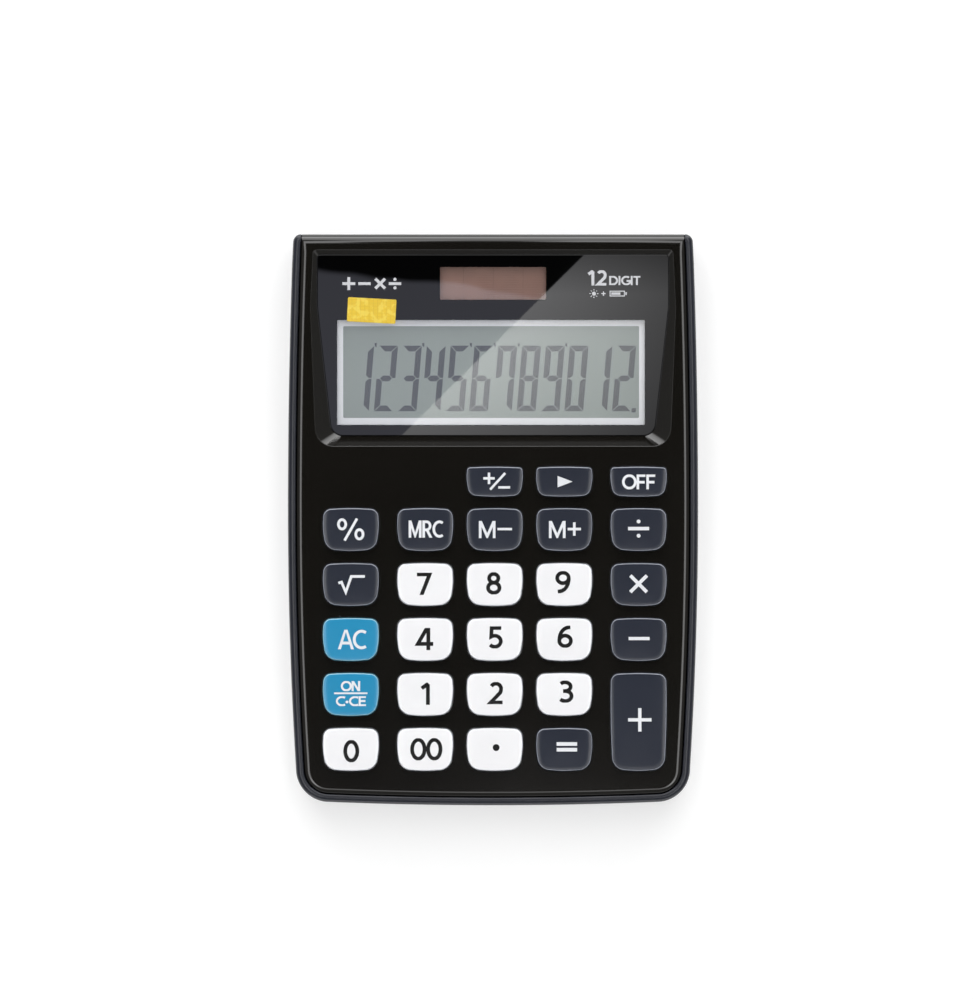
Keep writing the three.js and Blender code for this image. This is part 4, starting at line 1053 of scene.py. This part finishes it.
# ---- Rear case ----
def make_rear_case():
    top_rounding = rounding(RIM_ROUNDING, 7)
    base_rounding = rounding(BASE_ROUNDING, 6)[::-1]
    rings = [on_base(case_outline(inset), UNDERSIDE + drop) for inset, drop in base_rounding]
    rings += [at(case_outline(inset), -drop, FACE) for inset, drop in top_rounding]
    inside = [on_base(case_outline(RIM_WIDTH), UNDERSIDE + BASE_WALL)]
    inside += [at(case_outline(RIM_WIDTH - inset), -drop, FACE) for inset, drop in rounding(EDGE_ROUNDING)]
    inside.append(at(case_outline(RIM_WIDTH - EDGE_ROUNDING), BEYOND, FACE))
    shell = carve(loft(rings).mesh("rear_shell"), "rear_shell", cuts=[loft(inside)])
    cell_low, cell_high = extent("button_cell")
    cell = (cell_low + cell_high) / 2
    well = (cell_high.x - cell_low.x) / 2 + CELL_CLEARANCE
    well_top = cell_high.z + 0.3 + 3 * GLASS_GAP
    joins = [prism(circle(well + HOLDER_WALL, cell.x, cell.y), UNDERSIDE + BASE_WALL * 0.75, well_top + 1)]
    notch_half = side_at(REAR_EDGE) - RIM_WIDTH
    notch = rectangle(2 * notch_half, 3 * RIM_WIDTH, 0.01, 0, REAR_EDGE, 1)
    cuts = [prism(notch, -SKIRT_DEPTH - SEAM, BEYOND, FACE)]
    for _, (u, v, _), _, _ in screw_places("case_screw"):
        low, seat = depth_at(v, UNDERSIDE), seat_depth(v)
        boss_top = seat + REAR_BOSS_RISE
        joins.append(rod(REAR_BOSS_RADIUS, u, v, low + BASE_WALL / 2, boss_top))
        cuts.append(rod(COUNTERBORE_RADIUS, u, v, low - BEYOND, seat, 32))
        cuts.append(rod(SCREW_RADIUS, u, v, seat - BEYOND, boss_top + BEYOND, 20))
    for node in sorted(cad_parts):
        if node.startswith("foot_"):
            low, high = extent(node)
            middle, radius = (low + high) / 2, (high.x - low.x) / 2 + 0.05
            cuts.append(prism(circle(radius, middle.x, middle.y, 48), -BEYOND, UNDERSIDE + FOOT_RECESS))
    low, high = extent("rating_label")
    middle, size = (low + high) / 2, high - low
    label = rectangle(size.x + 0.4, size.y + 0.4, 1.2, middle.x, middle.y)
    cuts.append(prism(label, -BEYOND, UNDERSIDE + LABEL_RECESS))
    cuts.append(prism(circle(well, cell.x, cell.y, 64), -BEYOND, well_top))
    low, high = cover_plate()
    middle, size = (low + high) / 2, high - low
    grow = 2 * COVER_CLEARANCE
    cover = rectangle(size.x + grow, size.y + grow, COVER_RADIUS, middle.x, middle.y)
    cuts.append(prism(cover, -BEYOND, UNDERSIDE + 1.3))
    inside_top = UNDERSIDE + BASE_WALL + BEYOND
    rear = high.y + COVER_CLEARANCE
    front = low.y - COVER_CLEARANCE
    for side in (-1, 1):
        x = middle.x + side * HOOK_SPACING / 2
        slot = rectangle(*HOOK_SLOT, 0.1, x, rear - HOOK_SLOT[1] / 2, 2)
        cuts.append(prism(slot, UNDERSIDE, inside_top))
    slot = rectangle(*LATCH_SLOT, 0.1, middle.x, front + LATCH_SLOT[1] / 2, 2)
    cuts.append(prism(slot, UNDERSIDE, inside_top))
    low, high = extent("battery_contact_positive")
    slot = rectangle(high.x - low.x + 0.5, high.y - low.y + 0.7, 0.1, (low.x + high.x) / 2, cell.y, 2)
    cuts.append(prism(slot, cell_low.z, well_top + 2))
    return carve(shell, "rear_shell", joins, cuts)


def cover_plate():
    """The battery cover's plate, without its hooks, which reach past its rear edge."""
    low, high = extent("battery_cover")
    points = [v.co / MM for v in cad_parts["battery_cover"].data.vertices]
    reach = max(p.y for p in points if p.z < low.z + 0.1)
    return low, Vector((high.x, reach, low.z + 1.25))


piece("rear_shell", make_rear_case(), rear_slate, "rear_case", ["rear_case"])


# ---- Keys and their legends ----
def crown(key):
    """The height of a key's slightly domed top."""
    half, middle = key["half"], key["middle"]

    def height(x, y):
        across = max(0, 1 - ((x - middle.x) / half.x) ** 2)
        along = max(0, 1 - ((y - middle.y) / half.y) ** 2)
        return key["top"] - KEY_CROWN + KEY_CROWN * across * along

    return height


KEY_GROWTH = 0.16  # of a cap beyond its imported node, within the gap round it
KEY_EDGE = [(0, 0.24), (0.02, 0.15), (0.06, 0.08), (0.11, 0.035), (0.17, 0.01), (0.24, 0)]


def make_key(node, key):
    flange_top = key["bottom"] + FLANGE_THICKNESS
    top = crown(key)
    rings = [
        at(key_outline(key, FLANGE_WIDTH), key["bottom"], FACE),
        at(key_outline(key, FLANGE_WIDTH), flange_top, FACE),
        at(key_outline(key, KEY_GROWTH), flange_top, FACE),
    ]
    for inset, drop in KEY_EDGE:
        ring = key_outline(key, KEY_GROWTH - KEY_DRAFT - inset)
        rings.append(at(ring, lambda x, y, drop=drop: top(x, y) - drop, FACE))
    last = key_outline(key, KEY_GROWTH - KEY_DRAFT - KEY_EDGE[-1][0])
    middle = key["middle"]
    for share in (0.85, 0.65, 0.45, 0.25, 0.1):
        ring = [
            (middle.x + (x - middle.x) * share, middle.y + (y - middle.y) * share)
            for x, y in last
        ]
        rings.append(at(ring, top, FACE))
    return loft(rings).mesh(node)


DIGIT = 4.65  # a digit's height
PEN = 0.8

LEGENDS = {
    "key_percent": drawn(oval(-1.83, 1.1, 0.76, 0.98), 0.56) + drawn(oval(1.8, -1.0, 0.76, 0.98), 0.56)
    + drawn([(-1.3, -2.3), (1.3, 2.3)], 0.54),
    "key_root": drawn([(-2.6, 0.3), (-1.95, 0.5), (-1.05, -1.6), (0.1, 1.7), (2.95, 1.7)], 0.56),
    "key_memory_recall": text("MRC", 3.6, 7.2, 0.55, 0.15, 0.1),
    "key_memory_minus": text("M", 3.6, 3.9, 0.56, -1.45, 0) + bar(2.1, 0.1, 3.05, 0.5),
    "key_memory_plus": text("M", 3.6, 3.9, 0.56, -1.35, 0) + plus_sign(2.1, 0.1, 2.8, 0.54),
    "key_off": text("OFF", 3.1, 7.1, 0.54, 0.1, -0.05),
    "key_sign": plus_sign(-1.2, 0.7, 2.4, 0.52) + drawn([(-0.95, -1.65), (2.2, 1.8)], 0.5)
    + bar(2.0, -1.2, 2.5, 0.52),
    "key_backspace": [[Vector((-1.4, -1.2)), Vector((1.75, 0)), Vector((-1.4, 1.2))]],
    "key_divide": divide_sign(0, 0.2, 4.4, 0.72),
    "key_times": times_sign(0, 0.15, 4.9, 0.72),
    "key_minus": bar(0.1, 0.2, 4.4, 0.68),
    "key_plus": plus_sign(0.25, 0.45, 4.9, 0.7),
    "key_equals": bar(0.55, 1.15, 4.3, 0.76) + bar(0.55, -0.05, 4.3, 0.76),
    "key_point": dot(0.3, 0.4, 0.72),
    "key_all_clear": text("AC", 4.1, 5.7, 0.6, 0.4, 0),
    "key_on_clear": text("ON", 2.1, 4.2, 0.44, 0.05, 1.75) + bar(0, 0.25, 7.0, 0.36)
    + text("C.CE", 2.05, 6.5, 0.42, 0.1, -1.4),
}
DIGIT_LEGENDS = {  # the width that a digit is set to, and its place
    "7": (3.15, -0.35, 0.15), "8": (3.2, -0.2, 0.25), "9": (3.3, -0.25, 0.5),
    "4": (3.7, -0.05, 0.1), "5": (3.25, 0.2, 0.45), "6": (3.3, 0.2, 0.6),
    "1": (3.0, 0.15, 0.15), "2": (3.2, 0.35, 0.3), "3": (3.3, 0.4, 0.6),
    "0": (3.25, 0.1, -0.35), "00": (6.7, 0.25, 0.05),
}
for words, (width, x, y) in DIGIT_LEGENDS.items():
    LEGENDS["key_" + words] = text(words, DIGIT, width, PEN, x, y)


def cap_finish(node):
    """A key's material, its ink and its material slot."""
    if node.removeprefix("key_").isdigit() or node == "key_point":
        return cap_white, ink_black, "white_key"
    if node.endswith("clear"):
        return cap_blue, ink_white, "blue_key"
    return cap_slate, ink_white, "slate_key"


for node, key in KEYS.items():
    cap_material, ink, slot = cap_finish(node)
    name = node.removeprefix("key_")
    piece("cap_" + name, make_key(node, key), cap_material, slot, [node], node, (), 60)
    middle = Vector((key["middle"].x, key["middle"].y))
    top = crown(key)
    placed = [[p + middle for p in polygon] for polygon in LEGENDS[node]]
    legend = slab(
        placed,
        lambda x, y, top=top: top(x, y) - 0.06,
        lambda x, y, top=top: top(x, y) + LEGEND_PROUD,
        FACE,
    )
    piece("legend_" + name, legend.mesh("legend_" + name), ink, slot, (), node, (), 60)


# ---- Key mat: a sheet, and a dome under each key ----
DOME_HEIGHT = 1.8
DOME_GAP = 0.1
DOME_RADIUS = 2.5
DOME_TOP_RADIUS = 1.6
DOME_HOLLOW = (1.3, 0.7)  # its radius and depth
DOME_LIFT = 0.01  # of a dome's foot above the sheet
MAT_TOP = KEYS["key_5"]["bottom"] - DOME_GAP - DOME_HEIGHT


def make_dome(key):
    reach = min(DOME_RADIUS, key["half"].y)
    hollow, depth = DOME_HOLLOW
    profile = [(hollow - 0.15, depth), (hollow, depth - 0.15), (hollow, 0), (reach, 0)]
    for share in (0.15, 0.35, 0.6, 0.85):
        profile.append((reach + (DOME_TOP_RADIUS - reach) * share ** 0.6, DOME_HEIGHT * share))
    profile += [(DOME_TOP_RADIUS, DOME_HEIGHT - 0.1), (DOME_TOP_RADIUS - 0.15, DOME_HEIGHT)]
    lifted = [(radius, MAT_TOP + DOME_LIFT + height * (1 - DOME_LIFT)) for radius, height in profile]
    return turned(lifted, key["middle"].x, key["middle"].y, FACE, 24)


sheet_space = prism(rectangle(2 * CASE_WIDTH, 2 * CASE_LENGTH, 1), MAT_TOP - 2, MAT_TOP, FACE)
mat = carve(welded(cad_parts["key_mat"].data.copy()), "mat_sheet", trims=[sheet_space])
piece("mat_sheet", mat, mat_rubber, "silicone_mat", ["key_mat"])
for node, key in KEYS.items():
    name = "dome_" + node.removeprefix("key_")
    dome = piece(name, make_dome(key).mesh(name), mat_rubber, "silicone_mat")
    foot = FACE @ Vector((key["middle"].x, key["middle"].y, MAT_TOP)) * MM
    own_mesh(dome)


# ---- Lens, display and solar cell ----
def make_lens():
    """A tray-shaped prism whose top and underside have clear windows in their black print."""
    body = Body()
    rings = [at(lens_outline(0), -LENS_THICKNESS)]
    rings += [at(lens_outline(-inset), -drop) for inset, drop in rounding(0.12, 3)]
    count = len(rings[0])
    walls = []
    for ring in range(len(rings) - 1):
        low, high = ring * count, (ring + 1) * count
        for i in range(count):
            after = (i + 1) % count
            walls.append([low + i, low + after, high + after, high + i])
    body.add([p for ring in rings for p in ring], walls)
    windows = [rectangle(w, h, 0.2, x, y, 4) for w, h, x, y in (WINDOW, SOLAR_WINDOW)]
    for outline, height in ((lens_outline(-0.12), 0), (lens_outline(0), -LENS_THICKNESS)):
        flat = [Vector(p) for p in outline]
        loops = [list(range(len(flat)))]
        for window in windows:
            loops.append(list(range(len(flat), len(flat) + len(window))))
            flat += [Vector(p) for p in window]
        points, _, triangles, _, _, owners = delaunay_2d_cdt(flat, [], loops, 0, 1e-5, True)
        for slot in (0, 1):
            chosen = [t for t, owner in zip(triangles, owners) if owner and len(owner) == slot + 1]
            faces = chosen if height == 0 else [t[::-1] for t in chosen]
            body.add([(p.x, p.y, height) for p in points], faces, slot)
    return welded(body.mesh("lens", LENS))


piece("lens", make_lens(), [lens_black, window_clear], "display_lens", ["display_lens"])


def ring_slab(outer, inner, low, high, matrix):
    """A flat frame between two outlines with the same number of points."""
    count = len(outer)
    points = at(outer, low, matrix) + at(inner, low, matrix)
    points += at(outer, high, matrix) + at(inner, high, matrix)
    faces = []
    for i in range(count):
        j = (i + 1) % count
        a, b, c, d = i, count + i, 2 * count + i, 3 * count + i
        a2, b2, c2, d2 = j, count + j, 2 * count + j, 3 * count + j
        faces += [[a, a2, c2, c], [b, d, d2, b2], [c, c2, d2, d], [a, b, b2, a2]]
    return Body().add(points, faces)


def panel(node, name, material, slot, film_inset):
    """A glass plate with a thinner film on its top, which is what shows through the lens."""
    width, height, x, y, top, bottom = under_lens(node)
    film = 0.15
    rings = [
        at(rectangle(width, height, 0.5, x, y), bottom, LENS),
        at(rectangle(width, height, 0.5, x, y), top - film, LENS),
        at(rectangle(width - film_inset, height - film_inset, 0.4, x, y), top - film, LENS),
        at(rectangle(width - film_inset, height - film_inset, 0.4, x, y), top, LENS),
    ]
    return piece(name, loft(rings).mesh(name), material, slot, [node])


panel("lcd_panel", "lcd_module", display_grey, "display_glass", 0.8)
panel("solar_cell", "solar_module", solar_brown, "solar_cell", 0.6)

LCD_TOP = under_lens("lcd_panel")[4]

border = ring_slab(
    rectangle(WINDOW[0] + 0.2, WINDOW[1] + 0.2, 0.5, *WINDOW[2:]),
    rectangle(VIEW[0], VIEW[1], 0.25, *VIEW[2:]),
    -LENS_THICKNESS - 0.09,
    -LENS_THICKNESS - 0.03,
    LENS,
)
piece("display_border", border.mesh("display_border"), ink_silver, "display_glass")

SEGMENT_PEN = 1.2
DIGIT_SIZE = (3.95, 13.8)
DIGIT_PITCH = 5.01
DIGIT_SLANT = 0.083
SEGMENT_GAP = 0.1
DIGITS_MIDDLE = -26.1
DIGITS_SHIFT = 0.42  # of the digits to the right of the view's middle
SHOWN = "123456789012"
SEPARATOR = [(-0.9, -0.1), (-0.55, -0.35), (-0.55, 0.55), (-1.05, 0.55)]  # from a digit's upper left
POINT = [(0.15, -0.25), (1.05, -0.25), (1.05, 0.65), (0.15, 0.65)]  # from its lower right
MARKED = (1, 3, 5, 6, 7, 9)  # the digits with a faint separator at their upper left
SEGMENTS = {
    "0": "abcdef", "1": "bc", "2": "abged", "3": "abgcd", "4": "fgbc",
    "5": "afgcd", "6": "afgedc", "7": "fabc", "8": "abcdefg", "9": "abcdfg",
}


def segment_shapes():
    """The seven segments of one digit, with mitred ends, in a box whose corner is (0, 0)."""
    (w, h), t, g = DIGIT_SIZE, SEGMENT_PEN, SEGMENT_GAP
    m = h / 2
    top = [(g, h), (t + g, h - t), (w - t - g, h - t), (w - g, h)]
    upper = [(0, h - g), (0, m + g), (t / 2, m + g), (t, m + t / 2 + g), (t, h - t - g)]
    middle = [
        (t / 2 + g, m), (t + g, m - t / 2), (w - t - g, m - t / 2),
        (w - t / 2 - g, m), (w - t - g, m + t / 2), (t + g, m + t / 2),
    ]

    def flip_x(points):
        return [(w - x, y) for x, y in points][::-1]

    def flip_y(points):
        return [(x, h - y) for x, y in points][::-1]

    return {
        "a": top, "d": flip_y(top), "g": middle,
        "f": upper, "e": flip_y(upper), "b": flip_x(upper), "c": flip_y(flip_x(upper)),
    }


def make_digits():
    shapes = segment_shapes()
    width, height = DIGIT_SIZE
    left = VIEW[2] - ((len(SHOWN) - 1) * DIGIT_PITCH + width) / 2 + DIGITS_SHIFT
    low = DIGITS_MIDDLE - height / 2
    body = Body()

    def show(outline, start):
        slanted = [(start + x + DIGIT_SLANT * (y - height / 2), low + y) for x, y in outline]
        prism(slanted, LCD_TOP - 0.02, LCD_TOP + 0.03, LENS, body)

    for i, digit in enumerate(SHOWN):
        start = left + i * DIGIT_PITCH
        for segment in SEGMENTS[digit]:
            show(shapes[segment], start)
        if i in MARKED:
            show([(x, y + height) for x, y in SEPARATOR], start)
    show(POINT, left + (len(SHOWN) - 1) * DIGIT_PITCH + width)
    return body


piece("lcd_segments", make_digits().mesh("lcd_segments"), segment_dark, "display_glass")


def printed(name, polygons, material=None):
    made = slab(polygons, -PRINT_HEIGHT, PRINT_HEIGHT, LENS)
    return piece(name, made.mesh(name), material or ink_pale, "display_lens")


SIGN_ROW = -6.1
printed("mark_signs", plus_sign(-30.3, SIGN_ROW, 2.7, 0.6) + bar(-27.0, SIGN_ROW, 2.6, 0.6)
        + times_sign(-23.7, SIGN_ROW, 2.9, 0.6) + divide_sign(-20.6, SIGN_ROW, 2.6, 0.6))
printed("mark_digits", text("12", 3.2, 4.4, 0.62, 21.8, -4.9) + text("DIGIT", 1.9, 6.6, 0.4, 27.7, -5.45))


def sun_and_cell():
    """Two small pictures: a sun, for the solar cell, and a dry cell."""
    x, y = 21.2, -8.2
    shapes = dot(x, y, 0.42)
    for turn in range(8):
        angle = math.radians(45 * turn)
        shapes += bar(x + 0.78 * math.cos(angle), y + 0.78 * math.sin(angle), 0.3, 0.16, 45 * turn)
    shapes += plus_sign(23.2, y, 0.9, 0.22)
    shapes += box_lines(24.6, y - 0.5, 27.6, y + 0.5, 0.2)
    shapes += bar(27.95, y, 0.3, 0.6) + bar(25.8, y, 1.9, 0.5)
    return shapes


printed("mark_power", sun_and_cell())

STICKER = under_lens("inspection_sticker")


def make_sticker():
    width, height, turn = 10.2, 5.1, math.radians(-3)
    spin = Matrix.Translation((STICKER[2] - 0.3, STICKER[3] + 0.1, 0)) @ Matrix.Rotation(turn, 4, "Z")
    body = Body()
    rings = [
        at(rectangle(width, height, 0.25), 0.03, LENS @ spin),
        at(rectangle(width, height, 0.25), 0.09, LENS @ spin),
        at(rectangle(width - 0.06, height - 0.06, 0.25), 0.11, LENS @ spin),
    ]
    return loft(rings, body).mesh("sticker")


piece("sticker", make_sticker(), sticker_yellow, "sticker", ["inspection_sticker"])


# ---- Underside: feet, screws, label and battery cover ----
for node in sorted(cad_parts):
    if node.startswith("foot_"):
        low, high = extent(node)
        middle, radius = (low + high) / 2, (high.x - low.x) / 2
        edge = [(radius - inset, drop) for inset, drop in rounding(0.35, 5)][::-1]
        profile = [(radius * 0.6, 0.06), (radius * 0.66, 0), *edge, (radius, high.z)]
        foot = turned(profile, middle.x, middle.y).mesh(node)
        name = "pad_" + node.removeprefix("foot_")
        piece(name, foot, foot_rubber, "foot_rubber", [node])


def make_screw(place, high, low, name):
    """A cross-recessed pan-head screw with a plain shank that stands for its thread."""
    u, v = place.x, place.y
    radius, seat = 1.7, low + 1.1
    head = [
        (radius - 0.55, low), (radius - 0.3, low + 0.06),
        (radius - 0.08, low + 0.28), (radius, low + 0.55),
    ]
    shank = [(0.95, seat), (0.95, high - 0.8), (0.45, high)]
    screw = turned([*head, (radius, seat), *shank], u, v, FACE, 32)
    cuts = []
    for turn in (0, 90):
        spin = FACE @ Matrix.Translation((u, v, 0)) @ Matrix.Rotation(math.radians(turn + 20), 4, "Z")
        cuts.append(prism(rectangle(2.1, 0.38, 0.08, 0, 0, 2), low - 0.5, low + 0.6, spin))
    return carve(screw.mesh(name), name, cuts=cuts)


for node, place, high, low in screw_places("case_screw"):
    mesh = make_screw(place, high, low, "steel_" + node)
    piece("steel_" + node, mesh, screw_steel, "screw_steel", [node])


def make_label():
    low, high = extent("rating_label")
    middle, size = (low + high) / 2, high - low
    plate = rectangle(size.x, size.y, 1, middle.x, middle.y)
    return prism(plate, low.z, high.z), middle, size, low.z


label, label_middle, label_size, label_low = make_label()
piece("label_plate", label.mesh("label_plate"), label_silver, "label", ["rating_label"])


def label_lines():
    """A border and four blank rules."""
    x, y = label_middle.x, label_middle.y
    w, h = label_size.x / 2 - 1.5, label_size.y / 2 - 1.5
    shapes = box_lines(x - w, y - h, x + w, y + h, 0.25)
    for row in range(4):
        shapes += bar(x, y + h - 4.2 - 4.4 * row, 2 * w - 6, 0.2)
    return shapes


rules = slab(label_lines(), label_low - 0.02, label_low + 0.04)
piece("label_rules", rules.mesh("label_rules"), ink_black, "label")


def make_cover():
    low, high = cover_plate()
    middle, size = (low + high) / 2, high - low

    def outline(grow):
        width, height = size.x + 2 * grow, size.y + 2 * grow
        return rectangle(width, height, COVER_RADIUS + grow, middle.x, middle.y)

    rings = [at(outline(-inset), low.z + drop) for inset, drop in rounding(0.2, 3)[::-1]]
    rings.append(at(outline(0), high.z))
    whole_high = extent("battery_cover")[1]
    hook_top = UNDERSIDE + BASE_WALL + 0.85
    joins = []
    for side in (-1, 1):
        x = middle.x + side * HOOK_SPACING / 2
        joins.append(prism(rectangle(2.8, 0.7, 0.08, x, high.y - 0.36, 2), low.z + 0.6, hook_top))
        reach = whole_high.y - high.y + 0.3
        tongue = rectangle(2.8, reach, 0.08, x, whole_high.y - reach / 2, 2)
        joins.append(prism(tongue, hook_top - 0.7, hook_top))
    latch_y = low.y + 0.65
    joins.append(prism(rectangle(4, 0.8, 0.08, middle.x, latch_y, 2), low.z + 0.6, whole_high.z))
    cuts = []
    for row in range(5):
        y = low.y + 2.2 + row * 1.15
        cuts.append(prism(rectangle(8, 0.55, 0.2, middle.x, y, 3), low.z - BEYOND, low.z + 0.3))
    tip = low.y + 9.5
    arrow = [(middle.x - 1.6, tip), (middle.x + 1.6, tip), (middle.x, tip + 2.6)]
    cuts.append(prism(arrow, low.z - BEYOND, low.z + 0.25))
    return carve(loft(rings).mesh("cover"), "cover", joins, cuts)


piece("cover", make_cover(), rear_slate, "rear_case", ["battery_cover"], "battery_cover")


def make_cell():
    low, high = extent("button_cell")
    middle, radius = (low + high) / 2, (high.x - low.x) / 2
    base = [(radius - inset, low.z + drop) for inset, drop in rounding(0.3, 5)][::-1]
    profile = [
        (radius * 0.55, low.z + 0.04), (radius * 0.62, low.z), *base,
        (radius, high.z - 0.4), (radius - 0.12, high.z - 0.35), (radius - 0.5, high.z - 0.35),
        (radius - 0.6, high.z - 0.1), (radius - 0.8, high.z),
    ]
    sign = [prism(rectangle(*size, 0.05, middle.x, middle.y, 2), low.z - BEYOND, low.z + 0.15)
            for size in ((3.2, 0.5), (0.5, 3.2))]
    return carve(turned(profile, middle.x, middle.y, sides=64).mesh("cell"), "cell", cuts=sign)


piece("cell", make_cell(), cell_steel, "cell_steel", ["button_cell"])

# ---- CAD nodes that stay, with their materials ----
FINISHES = {
    "main_board": board_material, "chip_blob": epoxy_black,
    "lcd_connector": film_amber, "battery_contact_positive": contact_steel,
    "battery_contact_negative": contact_steel, "solar_wire_positive": wire_red,
    "solar_wire_negative": wire_black, "battery_wire_positive": wire_red,
    "battery_wire_negative": wire_black,
}
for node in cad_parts:
    if node.startswith("board_screw"):
        FINISHES[node] = screw_steel
for node, material in FINISHES.items():
    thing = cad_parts[node]
    thing.data.materials.clear()
    thing.data.materials.append(material)

# ---- Table, light and camera ----
table = bpy.data.meshes.new("table")
TABLE_HALF = 3
TABLE_GLOW = 0.6  # the table is a pane of milk glass lit from below, so that shadows stay faint
corners = [(-1, -1), (1, -1), (1, 1), (-1, 1)]
table.from_pydata([(TABLE_HALF * x, TABLE_HALF * y, 0) for x, y in corners], [], [range(len(corners))])
paper = Shader("paper", (0.45, 0.45, 0.45), 0.7)
paper.tint(paper.spread(paper.noise(40), 0, 1), (0.47, 0.47, 0.47))
paper.main.inputs["Emission Color"].default_value = (1, 1, 1, 1)
paper.main.inputs["Emission Strength"].default_value = TABLE_GLOW
table.materials.append(paper.material)
floor = bpy.data.objects.new("table", table)
bpy.context.scene.collection.objects.link(floor)

SIDE_STRIPS = 2.9  # these are brightnesses: two strips beside the camera
FRONT_STRIP = 1.8
REAR_WALL = 2.1
HORIZON = 0.9
ENDS = 2  # the low sky to the front and the rear
REST = 0.2


def studio_sky():
    """A light tent as a sky: soft strips beside and before the camera, a bright wall behind, a pale
    horizon that rises to the front and the rear, and dark straight overhead.

    Directions are measured by their slopes, across and along, where they cross a level overhead.
    """
    world = bpy.data.worlds.new("studio")
    bpy.context.scene.world = world
    net = Net(world)
    split = net.node("ShaderNodeSeparateXYZ")
    net.link(net.node("ShaderNodeTexCoord").outputs["Generated"], split.inputs[0])
    x, y, z = split.outputs
    height = net.math("MAXIMUM", z, 0.02)
    across = net.math("DIVIDE", net.math("ABSOLUTE", x), height)
    along = net.math("DIVIDE", y, height)
    to_front = net.math("MULTIPLY", along, -1)
    length = net.math("ABSOLUTE", along)
    sides = net.product(
        net.step(across, 0.12, 0.16), net.step(across, 0.46, 0.34), net.step(length, 0.5, 0.3), SIDE_STRIPS,
    )
    front = net.product(
        net.step(to_front, 0.21, 0.25), net.step(to_front, 0.42, 0.34),
        net.step(across, 0.38, 0.2), FRONT_STRIP,
    )
    off_centre = net.math("DIVIDE", across, net.math("MAXIMUM", along, 0.02))
    rear = net.product(net.step(along, 0.25, 0.5), net.step(off_centre, 1.1, 0.8), REAR_WALL)
    horizon = net.product(net.step(z, 0.16, 0.04), HORIZON)
    beside = net.math("DIVIDE", across, net.math("MAXIMUM", length, 0.001))
    ends = net.product(net.step(z, 0.5, 0.2), net.step(beside, 1, 0.6), ENDS)
    sky = net.tree.nodes["Background"]
    sky.inputs["Color"].default_value = (1, 1, 1, 1)
    rest = net.product(net.step(z, 0.97, 0.9), REST)
    net.link(net.total(sides, front, rear, horizon, ends, rest), sky.inputs["Strength"])


studio_sky()

CAMERA_DISTANCE = 2000
VIEW_HEIGHT = 210  # of the face, in the picture's height
SENSOR = 36
AIM = Vector((-1.37, 4.15, 0))

camera_data = bpy.data.cameras.new("camera")
camera_data.sensor_width = SENSOR
camera_data.lens = SENSOR * CAMERA_DISTANCE / VIEW_HEIGHT
camera = bpy.data.objects.new("camera", camera_data)
bpy.context.scene.collection.objects.link(camera)
camera_place = FACE @ (AIM + Vector((0, 0, CAMERA_DISTANCE)))
camera.matrix_world = Matrix.Translation(camera_place * MM) @ face_turn
bpy.context.scene.camera = camera
bpy.context.scene.view_settings.view_transform = "Standard"

# ---- White cards above, which show only as reflections ----
CARD_HEIGHT = 3000


def on_card(x, y):
    """Where the camera's ray through a point of the lens lands after the lens mirrors it."""
    point = LENS @ Vector((x, y, 0))
    ray = (point - camera_place).normalized()
    mirrored = ray - 2 * ray.dot(LENS_UP) * LENS_UP
    return point + mirrored * (CARD_HEIGHT - point.z) / mirrored.z


def card(name, corners, strengths, fades, color, soft=False):
    """A glowing sheet whose reflection fills these corners of the lens, with its strengths from left to
    right, and fades along it, each from one level to another between two places."""
    points = [on_card(x, y) * MM for x, y in corners]
    mesh = bpy.data.meshes.new(name)
    mesh.from_pydata(points, [], [list(range(len(points)))])
    material = bpy.data.materials.new(name)
    net = Net(material)
    net.tree.nodes.clear()
    place = net.node("ShaderNodeTexCoord").outputs["Generated"]
    split = net.node("ShaderNodeSeparateXYZ")
    net.link(place, split.inputs[0])
    across, along = split.outputs["X"], split.outputs["Y"]
    strength = net.spread(across, *strengths, 0, 1)
    for levels, places in fades:
        strength = net.product(strength, net.spread(along, *levels, *places))
    if soft:
        wave = net.node("ShaderNodeTexNoise")
        wave.inputs["Scale"].default_value = 2.5
        net.link(place, wave.inputs["Vector"])
        lean = net.math("MULTIPLY_ADD", across, 0.165, along)
        edge = net.math("MULTIPLY_ADD", wave.outputs["Fac"], 0.12, lean)
        strength = net.product(strength, net.step(edge, 1.043, 1.003))
    glow = net.node("ShaderNodeEmission")
    glow.inputs["Color"].default_value = (*color, 1)
    net.link(strength, glow.inputs["Strength"])
    net.link(glow.outputs[0], net.node("ShaderNodeOutputMaterial").inputs["Surface"])
    mesh.materials.append(material)
    sheet = bpy.data.objects.new(name, mesh)
    bpy.context.scene.collection.objects.link(sheet)
    sheet.visible_camera = False
    sheet.visible_diffuse = False
    sheet.visible_shadow = False


card("card_right", [(19.5, 0.3), (38, 0.3), (38, -39), (-20.2, -39)], (4.6, 1.45),
     [((0.55, 1), (0, 0.78)), ((1, 0.5), (0.78, 1))], (1, 1, 1.02))
card("card_left", [(16.5, -2.6), (-20.2, -39), (-38, -39), (-38, -2.0)], (1.05, 1.05),
     [((1, 0.9), (0, 1))], (0.9, 0.92, 1.1), soft=True)
